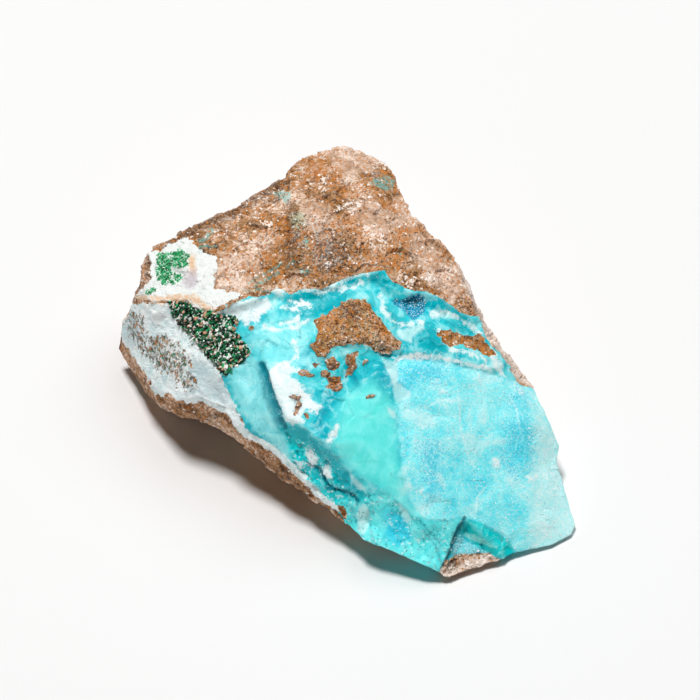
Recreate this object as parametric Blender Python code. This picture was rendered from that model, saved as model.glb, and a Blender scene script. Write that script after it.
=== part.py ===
"""Chrysocolla specimen: one broken lump of quartz rock, with a seam of chrysocolla laid open across its top.

The lump is a single solid. Its broken top leans to the front, so that someone looking down at it by SIGHT_DEG
sees it square on. Everything on that side is placed by what such a viewer sees: how far across (to the right), how
far up, and how high the spot lies above the table, all in millimetres. Behind and below, the rim runs down rough
walls to an underside that slopes in to one flat fracture, on which the lump rests.
"""

import math
import random

import bmesh
import bpy
import numpy as np
from mathutils import Matrix, Vector, geometry, noise

MM = 0.001
SIGHT_DEG = 55.0
SIGHT_SIN = math.sin(math.radians(SIGHT_DEG))
SIGHT_COS = math.cos(math.radians(SIGHT_DEG))

# Mesh sizes in millimetres: the length of a facet's side on the seam, in the crystals, on the walls and below.
TOP_FACET = 1.3
CRYSTAL_FACET = 0.85
WALL_FACET = 2.0
UNDERSIDE_FACET = 3.0
GRID_JITTER = 0.28  # share of a facet's side by which its corners are moved off the grid

# The middle of the lump in plan, which the walls lean towards or away from.
CORE = np.array((0.0, -12.0))

# The rim, clockwise from the top: across, up, height, and where the wall below it ends: how far out from the rim
# (in if negative) and how high.
RIM = [
    (-1.7, 34.2, 24.0, 5.0, 7.0),
    (2.0, 33.5, 24.0, 5.0, 7.0),
    (6.0, 31.2, 24.0, 5.0, 7.0),
    (7.7, 29.2, 24.5, 5.0, 6.5),
    (9.1, 25.4, 25.0, 5.0, 6.0),
    (10.7, 22.3, 25.0, 4.0, 6.0),
    (13.3, 19.7, 25.0, 3.5, 5.5),
    (16.3, 17.0, 24.3, 3.0, 5.0),
    (18.3, 14.3, 22.5, 2.5, 5.0),
    (20.0, 10.9, 20.5, 2.0, 4.5),
    (21.6, 6.9, 17.5, 1.5, 4.0),
    (23.5, 3.2, 15.0, 1.0, 4.0),
    (25.7, 0.0, 13.2, 0.5, 3.5),
    (28.0, -2.7, 12.0, 0.0, 3.5),
    (30.2, -5.3, 11.2, -1.0, 3.0),
    (31.4, -8.3, 11.8, -3.0, 3.0),
    (32.9, -11.3, 10.2, -4.0, 2.6),
    (35.0, -16.0, 6.8, -4.0, 1.8),
    (34.3, -17.8, 6.2, -4.0, 1.7),
    (35.5, -22.3, 4.2, -4.0, 1.1),
    (36.7, -26.7, 2.2, -3.5, 0.7),
    (37.5, -28.8, 1.2, -3.0, 0.4),
    (36.8, -30.7, 0.8, -3.0, 0.3),
    (33.8, -32.2, 0.8, -3.0, 0.3),
    (30.0, -33.0, 1.1, -3.0, 0.4),
    (26.8, -33.9, 1.4, -3.0, 0.5),
    (25.6, -34.5, 1.6, -2.5, 0.5),
    (23.7, -35.2, 1.5, -2.0, 0.5),
    (21.3, -36.0, 1.4, -1.5, 0.4),
    (18.7, -36.8, 1.5, -1.5, 0.5),
    (16.5, -37.8, 1.4, -1.5, 0.5),
    (15.2, -37.3, 2.0, -2.0, 0.6),
    (14.6, -36.6, 3.0, -3.5, 0.9),
    (12.2, -35.8, 4.2, -5.0, 1.4),
    (8.3, -34.0, 5.5, -5.0, 1.8),
    (5.0, -32.7, 6.3, -5.0, 2.0),
    (2.0, -31.3, 6.5, -5.5, 2.5),
    (0.0, -29.3, 6.5, -6.0, 2.5),
    (-3.8, -26.7, 6.8, -7.0, 3.0),
    (-9.0, -23.3, 7.0, -8.0, 3.0),
    (-14.3, -19.2, 8.0, -8.0, 3.5),
    (-17.0, -16.7, 8.5, -8.0, 3.5),
    (-19.7, -14.7, 9.5, -8.0, 3.5),
    (-22.3, -12.9, 10.5, -8.0, 4.0),
    (-25.0, -11.8, 10.4, -8.0, 3.5),
    (-28.3, -10.9, 9.0, -6.0, 3.0),
    (-31.3, -9.6, 7.0, -4.0, 2.0),
    (-33.7, -7.5, 5.2, -3.0, 1.5),
    (-36.5, -3.2, 3.4, -2.0, 1.2),
    (-38.0, -1.3, 3.0, -2.0, 1.2),
    (-38.7, 0.5, 5.0, -2.0, 1.5),
    (-38.3, 2.5, 8.0, -2.0, 2.0),
    (-37.8, 4.7, 11.5, -1.5, 3.5),
    (-36.2, 7.8, 16.6, -0.5, 5.5),
    (-34.8, 11.5, 22.4, 0.0, 7.0),
    (-34.5, 13.8, 23.0, 1.0, 7.0),
    (-34.0, 16.5, 23.5, 1.5, 7.0),
    (-30.7, 18.0, 24.0, 2.0, 7.0),
    (-26.0, 20.7, 24.5, 3.0, 7.5),
    (-19.7, 23.7, 25.0, 3.5, 8.0),
    (-17.3, 24.9, 25.0, 4.0, 8.0),
    (-14.6, 26.7, 25.0, 4.5, 8.0),
    (-10.8, 29.0, 25.0, 5.0, 8.0),
    (-10.0, 30.5, 24.5, 5.0, 7.5),
    (-7.3, 32.5, 24.5, 5.0, 7.5),
]

# Ridges, lips and feet across the broken side, as lines of (across, up, height).
BROWN_LIP = [  # where the brown rock ends above the seam
    (-22.3, 6.7, 26.8), (-17.0, 8.0, 27.8), (-12.5, 10.0, 28.2), (-9.8, 9.3, 28.3), (-5.3, 10.0, 28.8),
    (-1.7, 11.7, 29.0), (2.3, 12.7, 28.6), (5.2, 13.0, 28.2), (6.8, 10.8, 27.6), (10.3, 9.5, 26.8),
    (14.3, 9.0, 25.7), (17.7, 6.8, 23.9), (20.2, 5.2, 22.2),
]
BROWN_FOOT = [
    (-22.0, 5.6, 25.6), (-16.7, 6.8, 26.6), (-12.3, 8.6, 26.9), (-9.7, 8.0, 27.0), (-5.2, 8.6, 27.4),
    (-1.5, 10.2, 27.6), (2.5, 11.2, 27.2), (4.4, 11.4, 26.9), (5.8, 9.2, 26.2), (9.7, 7.7, 25.2),
    (13.5, 7.4, 24.3), (16.8, 5.4, 22.9), (19.3, 4.2, 21.4),
]
ROCK_STEP_TOP = [(-9.6, 24.0, 28.3), (-9.2, 19.5, 29.0), (-9.8, 16.5, 29.3), (-12.6, 13.0, 28.9)]
ROCK_STEP_FOOT = [(-10.7, 24.0, 26.9), (-10.5, 19.5, 27.2), (-11.2, 16.5, 27.7), (-14.0, 13.2, 27.6)]
SLAB_LIP = [(5.2, 0.7, 24.4), (9.0, -0.2, 23.6), (12.7, -0.4, 22.8), (17.5, -1.6, 20.8), (23.3, -3.0, 18.2)]
SLAB_FOOT = [(5.6, -0.5, 23.3), (9.2, -1.3, 22.5), (12.9, -1.6, 21.7), (17.6, -2.7, 19.9), (23.2, -4.0, 17.4)]
LEDGE_LIP = [  # the left edge of the glassy shelf
    (-13.8, -2.8, 24.6), (-12.8, -6.0, 24.2), (-11.0, -10.6, 22.8), (-7.8, -12.7, 22.0), (-4.0, -15.5, 20.3),
    (-0.5, -19.8, 16.3), (4.0, -22.0, 14.5), (8.5, -25.3, 11.8), (10.9, -27.6, 10.2), (15.0, -28.0, 9.2),
    (18.7, -27.2, 8.3),
]
LEDGE_FOOT = [(-14.7, -3.0, 22.8), (-14.2, -6.4, 21.2), (-12.6, -11.4, 19.0), (-9.4, -14.8, 17.8), (-5.8, -17.8, 16.2),
              (-2.6, -21.8, 13.8)]
TURQUOISE_HEM = [  # where the crust ends above the brown wall on the left and in front
    (-37.2, 2.0, 10.5), (-36.2, -0.8, 9.3), (-34.2, -3.7, 11.8), (-31.7, -6.7, 12.2), (-28.7, -8.3, 15.0),
    (-24.7, -7.7, 17.6), (-21.0, -9.3, 17.3), (-18.7, -12.3, 15.8), (-16.0, -14.7, 14.4), (-13.0, -16.3, 13.8),
    (-9.0, -20.5, 11.6), (-4.3, -25.0, 9.2), (-1.2, -27.4, 7.8),
]
PALE_EDGE = [(-20.7, -4.0, 21.2), (-18.3, -8.3, 19.0), (-15.8, -13.2, 16.7)]
LEFT_RIDGE = [(-33.3, 8.3, 23.9), (-29.2, 7.8, 24.9), (-25.7, 6.8, 25.6)]
RIGHT_EDGE = [
    (18.0, 13.0, 24.4), (19.5, 10.2, 23.6), (20.7, 7.0, 22.4), (21.7, 4.3, 21.0), (22.8, 2.0, 19.7),
    (24.2, -0.3, 18.2), (25.7, -1.8, 17.0), (26.8, -3.7, 15.6), (28.0, -5.4, 14.4),
]
NOTCH_LEFT_LIP = [(18.4, -27.9, 8.0), (17.0, -31.3, 6.2), (15.4, -35.2, 3.8)]
NOTCH_LEFT_FOOT = [(18.9, -29.6, 5.2), (17.8, -32.6, 3.6), (16.6, -35.6, 2.4)]
NOTCH_RIGHT_LIP = [(19.4, -28.2, 7.8), (22.2, -31.0, 5.5), (24.9, -33.3, 3.0)]
NOTCH_RIGHT_FOOT = [(20.2, -31.2, 4.3), (22.2, -33.0, 3.0), (24.0, -34.1, 2.2)]
BREAK_LINES = [
    BROWN_LIP, BROWN_FOOT, ROCK_STEP_TOP, ROCK_STEP_FOOT, SLAB_LIP, SLAB_FOOT, LEDGE_LIP, LEDGE_FOOT,
    TURQUOISE_HEM, PALE_EDGE, LEFT_RIDGE, RIGHT_EDGE, NOTCH_LEFT_LIP, NOTCH_LEFT_FOOT, NOTCH_RIGHT_LIP,
    NOTCH_RIGHT_FOOT,
]

# Single high and low spots between the lines.
ROCK_SPOTS = [
    (-29.2, 14.7, 25.2), (-24.2, 17.5, 26.4), (-16.7, 20.8, 27.0), (-11.3, 25.9, 26.8), (-5.3, 29.7, 26.5),
    (0.0, 30.6, 26.4), (5.0, 27.8, 27.0), (-18.3, 15.8, 27.4), (-22.5, 11.7, 26.4), (-3.3, 23.3, 29.2),
    (3.3, 22.5, 29.4), (8.2, 19.2, 28.4), (-0.8, 16.3, 30.4), (7.5, 15.0, 29.4), (13.3, 14.2, 27.4),
    (-5.0, 14.0, 30.0), (4.5, 17.8, 29.7), (-27.0, 10.0, 25.6),
]
SEAM_SPOTS = [
    (-18.3, 4.6, 25.6), (-8.3, 4.6, 26.6), (0.0, 7.8, 27.4), (-0.8, 3.0, 27.3), (8.3, 5.0, 25.0),
    (13.3, 3.0, 23.9), (18.3, 0.8, 21.6), (-13.5, 0.0, 24.4), (-6.7, 0.0, 25.8), (-4.0, -7.0, 23.6),
    (4.5, -8.3, 21.4), (1.7, -15.0, 19.2), (8.3, -21.0, 14.7), (15.0, -8.3, 18.6), (23.3, -11.7, 14.4),
    (29.0, -12.5, 12.2), (12.5, -16.7, 15.5), (20.0, -20.0, 11.2), (28.3, -21.7, 8.0), (15.5, -24.3, 10.8),
    (23.3, -28.0, 6.0), (31.7, -28.0, 3.6), (-9.5, -4.0, 24.9),
]
FRONT_SPOTS = [
    (-17.3, -7.0, 20.0), (-17.0, -4.5, 21.2), (-14.7, -13.0, 17.0), (-8.6, -17.6, 15.6), (-5.0, -21.2, 13.0),
    (-1.5, -24.6, 10.6), (0.8, -25.4, 11.0), (5.8, -28.3, 9.0), (11.0, -31.3, 7.1), (14.4, -32.0, 6.4),
    (20.6, -34.6, 2.3),
]
PALE_SPOTS = [
    (-20.3, 5.4, 25.6), (-16.3, -0.3, 23.6), (-24.3, 0.0, 21.8), (-28.7, 4.8, 22.8), (-33.3, 3.3, 18.8),
    (-31.7, -0.8, 16.8), (-27.5, -3.6, 18.4), (-22.7, -6.0, 18.6),
]
SPOTS = ROCK_SPOTS + SEAM_SPOTS + FRONT_SPOTS + PALE_SPOTS

# Closed outlines (across, up) that stand proud of their surroundings, or lie below them if negative: outline,
# rise and the width of the slope at its edge.
BROWN_ISLAND = [
    (-5.7, 4.8), (-3.0, 6.7), (-0.3, 8.2), (1.8, 8.7), (3.3, 7.7), (5.5, 5.0), (7.7, 2.3), (8.2, 1.0),
    (7.7, -0.5), (5.8, -0.8), (2.3, 0.8), (0.2, 0.8), (-2.2, 0.5), (-4.3, -1.0), (-5.7, -0.8), (-6.2, 1.0),
]
MALACHITE_PATCH = [
    (-30.0, 8.0), (-27.3, 8.2), (-25.7, 6.8), (-20.3, 5.8), (-16.3, -0.3), (-18.5, -2.3), (-20.7, -4.0),
    (-24.3, 0.0), (-28.7, 4.8),
]
WHITE_CRUST = [
    (-33.5, 15.5), (-28.3, 17.0), (-25.3, 14.3), (-22.3, 13.0), (-22.3, 9.2), (-24.0, 7.5), (-33.7, 9.0),
]
GREEN_HOLLOW = [(-31.2, 14.2), (-27.2, 14.2), (-26.8, 12.4), (-28.3, 10.0), (-31.3, 10.2)]
BLUE_VUG = [(6.8, 8.2), (8.8, 8.5), (12.5, 8.5), (12.7, 7.3), (10.7, 5.2), (9.7, 5.8), (9.2, 6.8), (7.7, 7.0)]
RUST_HOLLOW = [(15.5, 1.8), (18.8, 3.2), (21.8, 2.8), (24.0, -0.3), (22.2, -0.8), (18.3, 1.0), (16.5, 0.7)]
DRUSY_SLAB = [
    (8.2, -2.0), (13.0, -2.2), (23.0, -4.6), (28.7, -7.0), (32.6, -13.0), (35.0, -25.0), (33.0, -30.5),
    (26.0, -32.0), (19.0, -26.0), (12.5, -25.0), (9.7, -15.0), (8.3, -8.0),
]
RAISED = [
    (BROWN_ISLAND, 0.9, 0.7),
    (MALACHITE_PATCH, 0.5, 0.5),
    (WHITE_CRUST, 0.45, 0.6),
    (GREEN_HOLLOW, -0.7, 0.8),
    (BLUE_VUG, -0.8, 0.9),
    (RUST_HOLLOW, -0.7, 0.9),
    (DRUSY_SLAB, 0.45, 0.9),
]
ISLAND_LUMPS = [(-1.7, -2.5, 1.0), (-2.0, -3.7, 0.9), (-0.8, 5.8, 1.6), (5.2, 1.4, 1.3)]  # across, up, radius

# The flat fracture that the lump rests on, in plan.
RESTING_FACE = [
    (-27.0, -4.0), (-23.0, -12.0), (-13.0, -15.0), (-3.0, -22.0), (2.0, -31.0), (14.0, -39.0), (26.0, -34.5),
    (27.0, -26.0), (24.0, -17.0), (20.0, -10.0), (16.0, -4.0), (11.0, 5.0), (6.0, 16.0), (-2.0, 21.0),
    (-8.0, 16.0), (-14.0, 9.0), (-24.0, 5.0),
]
UNDERSIDE_SAG = 0.6  # how far the slopes round the resting face bulge down

# Roughness of the broken rock: the wavelength and the height of each layer of it, and the width and the depth of
# the flat flakes that have come off.
ROCK_LAYERS = ((9.0, 0.7), (4.2, 0.4))
ROCK_FLAKES = (6.5, 0.55)
SEAM_LAYERS = ((11.0, 0.3), (5.0, 0.14))
SEAM_FLAKES = (9.0, 0.22)
WALL_LAYERS = ((13.0, 1.5), (6.0, 0.8), (3.4, 0.4))
WALL_FLAKES = (9.0, 2.2)
FRONT_FLAKES = (4.2, 0.8)
CRYSTAL_HEIGHT = 0.42
RIM_ROUGHNESS = 0.2

MATERIALS = {  # name: linear colour, roughness
    "quartz_rock": ((0.28, 0.16, 0.10), 0.75),
    "chrysocolla": ((0.09, 0.60, 0.62), 0.35),
    "pale_crust": ((0.50, 0.62, 0.62), 0.7),
    "malachite": ((0.02, 0.16, 0.09), 0.4),
}
FRONT_FACE = (
    LEDGE_LIP[1:]
    + NOTCH_LEFT_LIP[1:]
    + [row for row in RIM if row[0] < 14.8 and row[1] < -29.0]
    + TURQUOISE_HEM[:-6:-1]
)
SEAM_OUTLINE = (
    BROWN_LIP
    + RIGHT_EDGE[4:]
    + [row for row in RIM if row[0] > 25.0 and row[1] < -7.0]
    + [row for row in RIM if row[0] < 14.8 and row[1] < -29.0]
    + TURQUOISE_HEM[:-6:-1]
    + PALE_EDGE[::-1]
)
CRUST_OUTLINE = PALE_EDGE + TURQUOISE_HEM[8::-1] + RIM[-12:-8] + [(-22.3, 13.0), (-22.3, 6.7)]


def on_table(across, up, height):
    """The point, in millimetres in the lump's own frame, that shows there to a viewer at SIGHT_DEG."""
    return np.stack((across, (up - height * SIGHT_COS) / SIGHT_SIN, height), axis=-1)


def flat(line):
    """The first two columns of a line of points."""
    return np.array([row[:2] for row in line], float)


def divided(line, spacing, closed=False):
    """The line's points with others between them, so that none is further than spacing from the next."""
    rows = np.array(line, float)
    ends = np.roll(rows, -1, axis=0) if closed else rows[1:]
    made = []
    for start, end in zip(rows, ends):
        parts = max(1, round(np.linalg.norm(end[:2] - start[:2]) / spacing))
        made += [start + (end - start) * part / parts for part in range(parts)]
    if not closed:
        made.append(rows[-1])
    return np.array(made)


def from_segments(places, line, closed=True):
    """Each place's distance to a line."""
    starts = flat(line)
    ends = np.roll(starts, -1, axis=0) if closed else starts[1:]
    starts = starts if closed else starts[:-1]
    run = ends - starts
    share = np.einsum("psk,sk->ps", places[:, None] - starts, run) / np.maximum((run**2).sum(1), 1e-12)
    nearest = starts + np.clip(share, 0, 1)[..., None] * run
    return np.linalg.norm(places[:, None] - nearest, axis=2).min(1)


def within(places, outline):
    """Whether each place lies inside a closed outline, by how often a ray to the right crosses it."""
    here = flat(outline)
    there = np.roll(here, -1, axis=0)
    above = (here[:, 1] > places[:, 1:2]) != (there[:, 1] > places[:, 1:2])
    climb = np.where(here[:, 1] == there[:, 1], 1.0, there[:, 1] - here[:, 1])
    crossing = here[:, 0] + (places[:, 1:2] - here[:, 1]) * (there[:, 0] - here[:, 0]) / climb
    return (above & (places[:, :1] < crossing)).sum(1) % 2 == 1


def inside_by(places, outline):
    """How far inside a closed outline each place lies, negative outside."""
    return np.where(within(places, outline), 1.0, -1.0) * from_segments(places, outline)


def grid(outline, spacing, rng):
    """Points inside an outline on a jittered triangular grid."""
    low, high = flat(outline).min(0), flat(outline).max(0)
    rows = np.arange(low[1], high[1], spacing * math.sqrt(3) / 2)
    made = [
        (x + rng.uniform(-1, 1) * GRID_JITTER * spacing, y + rng.uniform(-1, 1) * GRID_JITTER * spacing)
        for number, y in enumerate(rows)
        for x in np.arange(low[0] + (number % 2) * spacing / 2, high[0], spacing)
    ]
    made = np.array(made)
    return made[inside_by(made, outline) > 0.6 * spacing]


def triangles(places, rings, lines):
    """Triangles over these places that keep the closed rings and open lines of point numbers as edges."""
    edges = [(a, b) for ring in rings for a, b in zip(ring, ring[1:] + ring[:1])]
    edges += [(a, b) for line in lines for a, b in zip(line, line[1:])]
    found = geometry.delaunay_2d_cdt([Vector(place) for place in places], edges, [], 1, 1e-6)
    verts, _, faces, sources = found[:4]
    if len(verts) != len(places):
        raise ValueError(f"{len(verts)} points from {len(places)}: two lines cross or two points meet")
    number = [source[0] for source in sources]
    return [[number[corner] for corner in face] for face in faces]


class Surface:
    """A height over a plane that runs straight between the landmarks it is made from."""

    def __init__(self, ring, lines=(), spots=()):
        groups = [ring, *lines]
        rows = [row[:3] for group in groups for row in group] + list(spots)
        self.places, self.heights = flat(rows), np.array([row[2] for row in rows])
        starts = np.cumsum([0] + [len(group) for group in groups])
        numbers = [list(range(a, b)) for a, b in zip(starts, starts[1:])]
        self.faces = np.array(triangles(self.places, numbers[:1], numbers[1:]))

    def height(self, places):
        a, b, c = (self.places[self.faces[:, corner]] for corner in range(3))
        first, second, offset = b - a, c - a, places[:, None] - a
        area = first[:, 0] * second[:, 1] - first[:, 1] * second[:, 0]
        to_b = (offset[..., 0] * second[:, 1] - offset[..., 1] * second[:, 0]) / area
        to_c = (first[:, 0] * offset[..., 1] - first[:, 1] * offset[..., 0]) / area
        shares = np.stack((1 - to_b - to_c, to_b, to_c), axis=-1)
        best = shares.min(2).argmax(1)
        chosen = np.clip(shares[np.arange(len(places)), best], 0, None)
        return (chosen * self.heights[self.faces[best]]).sum(1) / chosen.sum(1)


def rough(points, layers):
    """Smooth noise summed over layers of (wavelength, height), one number for each point."""
    total = np.zeros(len(points))
    for wavelength, height in layers:
        total += [height * noise.noise(Vector(point) / wavelength) for point in points]
    return total


def flaked(points, width, depth):
    """One flat, tilted flake scar after another, a number for each point."""
    scars = []
    for point in points:
        place = Vector(point) / width
        centre = noise.voronoi(place)[1][0]
        tilt = noise.cell_vector(centre * 5.0) - Vector((0.5, 0.5, 0.5))
        scars.append(depth * (1.6 * tilt.dot(place - centre) + 0.5 * (noise.cell(centre * 3.0) - 0.5)))
    return np.array(scars)


def soft_step(distance, width):
    """0 outside, 1 once a place is width inside."""
    share = np.clip(distance / width, 0, 1)
    return share * share * (3 - 2 * share)


def relief(places, points, rng):
    """How far the broken side stands proud of its landmarks, towards the viewer."""
    on_seam = soft_step(inside_by(places, SEAM_OUTLINE), 1.0)
    rise = (rough(points, ROCK_LAYERS) + flaked(points, *ROCK_FLAKES)) * (1 - on_seam)
    rise += (rough(points, SEAM_LAYERS) + flaked(points, *SEAM_FLAKES)) * on_seam
    rise += flaked(points, *FRONT_FLAKES) * soft_step(inside_by(places, FRONT_FACE), 1.0)
    for outline, height, slope in RAISED:
        rise += height * soft_step(inside_by(places, outline), slope)
    for across, up, radius in ISLAND_LUMPS:
        away = np.linalg.norm(places - (across, up), axis=1)
        rise += 0.6 * soft_step(radius - away, radius)
    for outline in (MALACHITE_PATCH, GREEN_HOLLOW):
        spikes = np.array([rng.uniform(-1, 1) for _ in places]) * CRYSTAL_HEIGHT
        rise += spikes * soft_step(inside_by(places, outline), 0.6)
    return rise * soft_step(from_segments(places, RIM), 1.5)


def broken_side(rng):
    """The side that faces the viewer: its points on the table's frame, its faces and its rim rows."""
    surface = Surface(RIM, BREAK_LINES, SPOTS)
    rim = divided(RIM, TOP_FACET, closed=True)
    lines = [divided(line, TOP_FACET) for line in BREAK_LINES]
    fixed = [rim[:, :2]] + [line[:, :2] for line in lines]
    loose = grid(RIM, TOP_FACET, rng)
    near_lines = np.min([from_segments(loose, line, closed=False) for line in BREAK_LINES], axis=0)
    loose = loose[(near_lines > 0.6 * TOP_FACET) & (inside_by(loose, MALACHITE_PATCH) < 0)]
    crystals = grid(MALACHITE_PATCH, CRYSTAL_FACET, rng)
    near_lines = np.min([from_segments(crystals, line, closed=False) for line in BREAK_LINES], axis=0)
    crystals = crystals[near_lines > 0.5 * CRYSTAL_FACET]

    starts = np.cumsum([0] + [len(group) for group in fixed])
    numbers = [list(range(a, b)) for a, b in zip(starts, starts[1:])]
    places = np.concatenate([*fixed, loose, crystals])
    faces = triangles(places, numbers[:1], numbers[1:])

    heights = surface.height(places)
    points = on_table(places[:, 0], places[:, 1], heights)
    heights += relief(places, points, rng) * SIGHT_SIN
    return on_table(places[:, 0], places[:, 1], heights), faces, rim


def wall(rim, rim_points, rng):
    """Rows of points from the rim down to the foot of the walls, without the rim's own."""
    out, foot_height = rim[:, 3], rim[:, 4]
    away = rim_points[:, :2] - CORE
    reach = np.linalg.norm(away, axis=1)
    foot = np.column_stack((CORE + away * ((reach + out) / reach)[:, None], foot_height))
    fall = foot - rim_points
    along = (np.roll(rim_points, -1, axis=0) - np.roll(rim_points, 1, axis=0)) / 2
    count = round(np.linalg.norm(fall, axis=1).max() / WALL_FACET)
    rows = []
    for row in range(1, count + 1):
        down, across = (
            np.array([rng.uniform(-1, 1) * GRID_JITTER for _ in rim_points])[:, None] for _ in range(2)
        )
        rows.append(rim_points + fall * (row + down * (row < count)) / count + along * across)
    return rows


def underside(foot, rng):
    """Points and faces below the foot of the walls, which come first, and the numbers on the resting face."""
    rest = [(x, y, 0.0) for x, y in RESTING_FACE]
    surface = Surface(foot.tolist())
    places = np.concatenate([foot[:, :2], flat(rest)])
    loose = grid(foot, UNDERSIDE_FACET, rng)
    loose = loose[inside_by(loose, rest) < -0.7 * UNDERSIDE_FACET]
    places = np.concatenate([places, loose])
    ring = list(range(len(foot)))
    resting = list(range(len(foot), len(foot) + len(rest)))
    faces = triangles(places, [ring, resting], [])

    outer = surface.height(loose)
    to_rest, to_foot = from_segments(loose, rest), from_segments(loose, foot)
    share = to_rest / (to_rest + to_foot)
    heights = outer * share - UNDERSIDE_SAG * np.sin(math.pi * share) * np.minimum(1, outer * share)
    points = np.concatenate([foot, np.array(rest), np.column_stack((loose, np.maximum(heights, 0.2)))])
    return points, faces, resting


def shell():
    """The lump's points and outward faces, and the numbers of the points that stay exactly in place."""
    rng = random.Random(7)
    top, top_faces, rim = broken_side(rng)
    rows = wall(rim, top[: len(rim)], rng)
    below, below_faces, resting = underside(rows[-1], rng)

    points = [top, *rows[:-1], below]
    starts = np.cumsum([0] + [len(group) for group in points])
    count = len(rim)
    faces = [tuple(face) for face in top_faces]
    for upper, lower in zip(starts, starts[1:-1]):
        for a in range(count):
            b = (a + 1) % count
            faces.append((upper + a, upper + b, lower + b, lower + a))
    faces += [tuple(starts[-2] + corner for corner in reversed(face)) for face in below_faces]
    still = {starts[-2] + number for number in resting}
    return np.concatenate(points), faces, still, len(top), top[:count]


def roughen(mesh, still, front_count, rim):
    """Breaks up the walls and slopes along their own normals, less so near the rim and the resting face."""
    behind = [vert for vert in mesh.verts if vert.index >= front_count and vert.index not in still]
    points = np.array([vert.co[:] for vert in behind])
    normals = np.array([vert.normal[:] for vert in behind])
    amount = rough(points, WALL_LAYERS) + flaked(points, *WALL_FLAKES)
    from_rim = np.linalg.norm(points[:, None] - rim, axis=2).min(1)
    to_viewer = normals[:, 2] * SIGHT_SIN - normals[:, 1] * SIGHT_COS
    amount = np.where(to_viewer > -0.3, np.minimum(amount, 0), amount)
    amount *= soft_step(from_rim, 5.0) * np.clip(points[:, 2] / 5.0, 0, 1)
    for vert, normal, height in zip(behind, normals, amount):
        vert.co += Vector(normal * height)
        vert.co.z = max(vert.co.z, 0.25)
    for vert in mesh.verts:
        if vert.index < len(rim):
            vert.co += vert.normal * noise.noise(vert.co / 2.5) * RIM_ROUGHNESS


def material_of(name):
    colour, roughness = MATERIALS[name]
    material = bpy.data.materials.new(name)
    material.use_nodes = True
    shader = material.node_tree.nodes["Principled BSDF"]
    shader.inputs["Base Color"].default_value = (*colour, 1.0)
    shader.inputs["Roughness"].default_value = roughness
    shader.inputs["Metallic"].default_value = 0.0
    return material


def paint(mesh_data):
    """Gives each face of the broken side its mineral; the walls and the underside are rock."""
    names = list(MATERIALS)
    for name in names:
        mesh_data.materials.append(material_of(name))
    centres = np.array([face.center[:] for face in mesh_data.polygons])
    facing = np.array([face.normal[2] * SIGHT_SIN - face.normal[1] * SIGHT_COS for face in mesh_data.polygons])
    places = np.column_stack((centres[:, 0], centres[:, 1] * SIGHT_SIN + centres[:, 2] * SIGHT_COS))
    slots = np.zeros(len(centres), int)
    for outline, name in (
        (SEAM_OUTLINE, "chrysocolla"),
        (CRUST_OUTLINE, "pale_crust"),
        (BROWN_ISLAND, "quartz_rock"),
        (MALACHITE_PATCH, "malachite"),
        (GREEN_HOLLOW, "malachite"),
    ):
        slots[within(places, outline) & (facing > 0)] = names.index(name)
    mesh_data.polygons.foreach_set("material_index", slots)


def stand_on_origin(mesh_data):
    """Puts the middle of the lump's box over the origin, with the resting face at zero, and turns it to metres."""
    points = np.array([vert.co[:] for vert in mesh_data.vertices])
    middle = (points.min(0) + points.max(0)) / 2
    mesh_data.transform(Matrix.Scale(MM, 4) @ Matrix.Translation((-middle[0], -middle[1], 0.0)))


def build_specimen():
    points, faces, still, front_count, rim = shell()
    mesh = bmesh.new()
    verts = [mesh.verts.new(point) for point in points]
    for face in faces:
        mesh.faces.new([verts[corner] for corner in face])
    mesh.verts.index_update()
    mesh.normal_update()
    roughen(mesh, still, front_count, rim)
    bmesh.ops.triangulate(mesh, faces=mesh.faces)
    mesh.normal_update()

    data = bpy.data.meshes.new("chrysocolla_specimen")
    mesh.to_mesh(data)
    mesh.free()
    paint(data)
    stand_on_origin(data)
    specimen = bpy.data.objects.new("chrysocolla_specimen", data)
    bpy.context.scene.collection.objects.link(specimen)
    return specimen


def clear_scene():
    for item in list(bpy.data.objects):
        bpy.data.objects.remove(item)


clear_scene()
build_specimen()
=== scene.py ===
"""Chrysocolla specimen, dressed: a broken lump of quartz rock with a seam of blue-green chrysocolla laid open.

The lump keeps the solid's shape. Its broken side is divided finely, gets the chips, scars and crystals that the
solid leaves out, and is painted by zones. A zone is an outline (across, up) in millimetres, as someone sees it who
looks down at the broken side by SIGHT_DEG.
"""

import math
import random

import bpy
import numpy as np
from bpy.props import FloatProperty, FloatVectorProperty, IntProperty, PointerProperty
from mathutils import Matrix, Vector, noise
from mathutils.bvhtree import BVHTree
from mathutils.kdtree import KDTree


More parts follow.
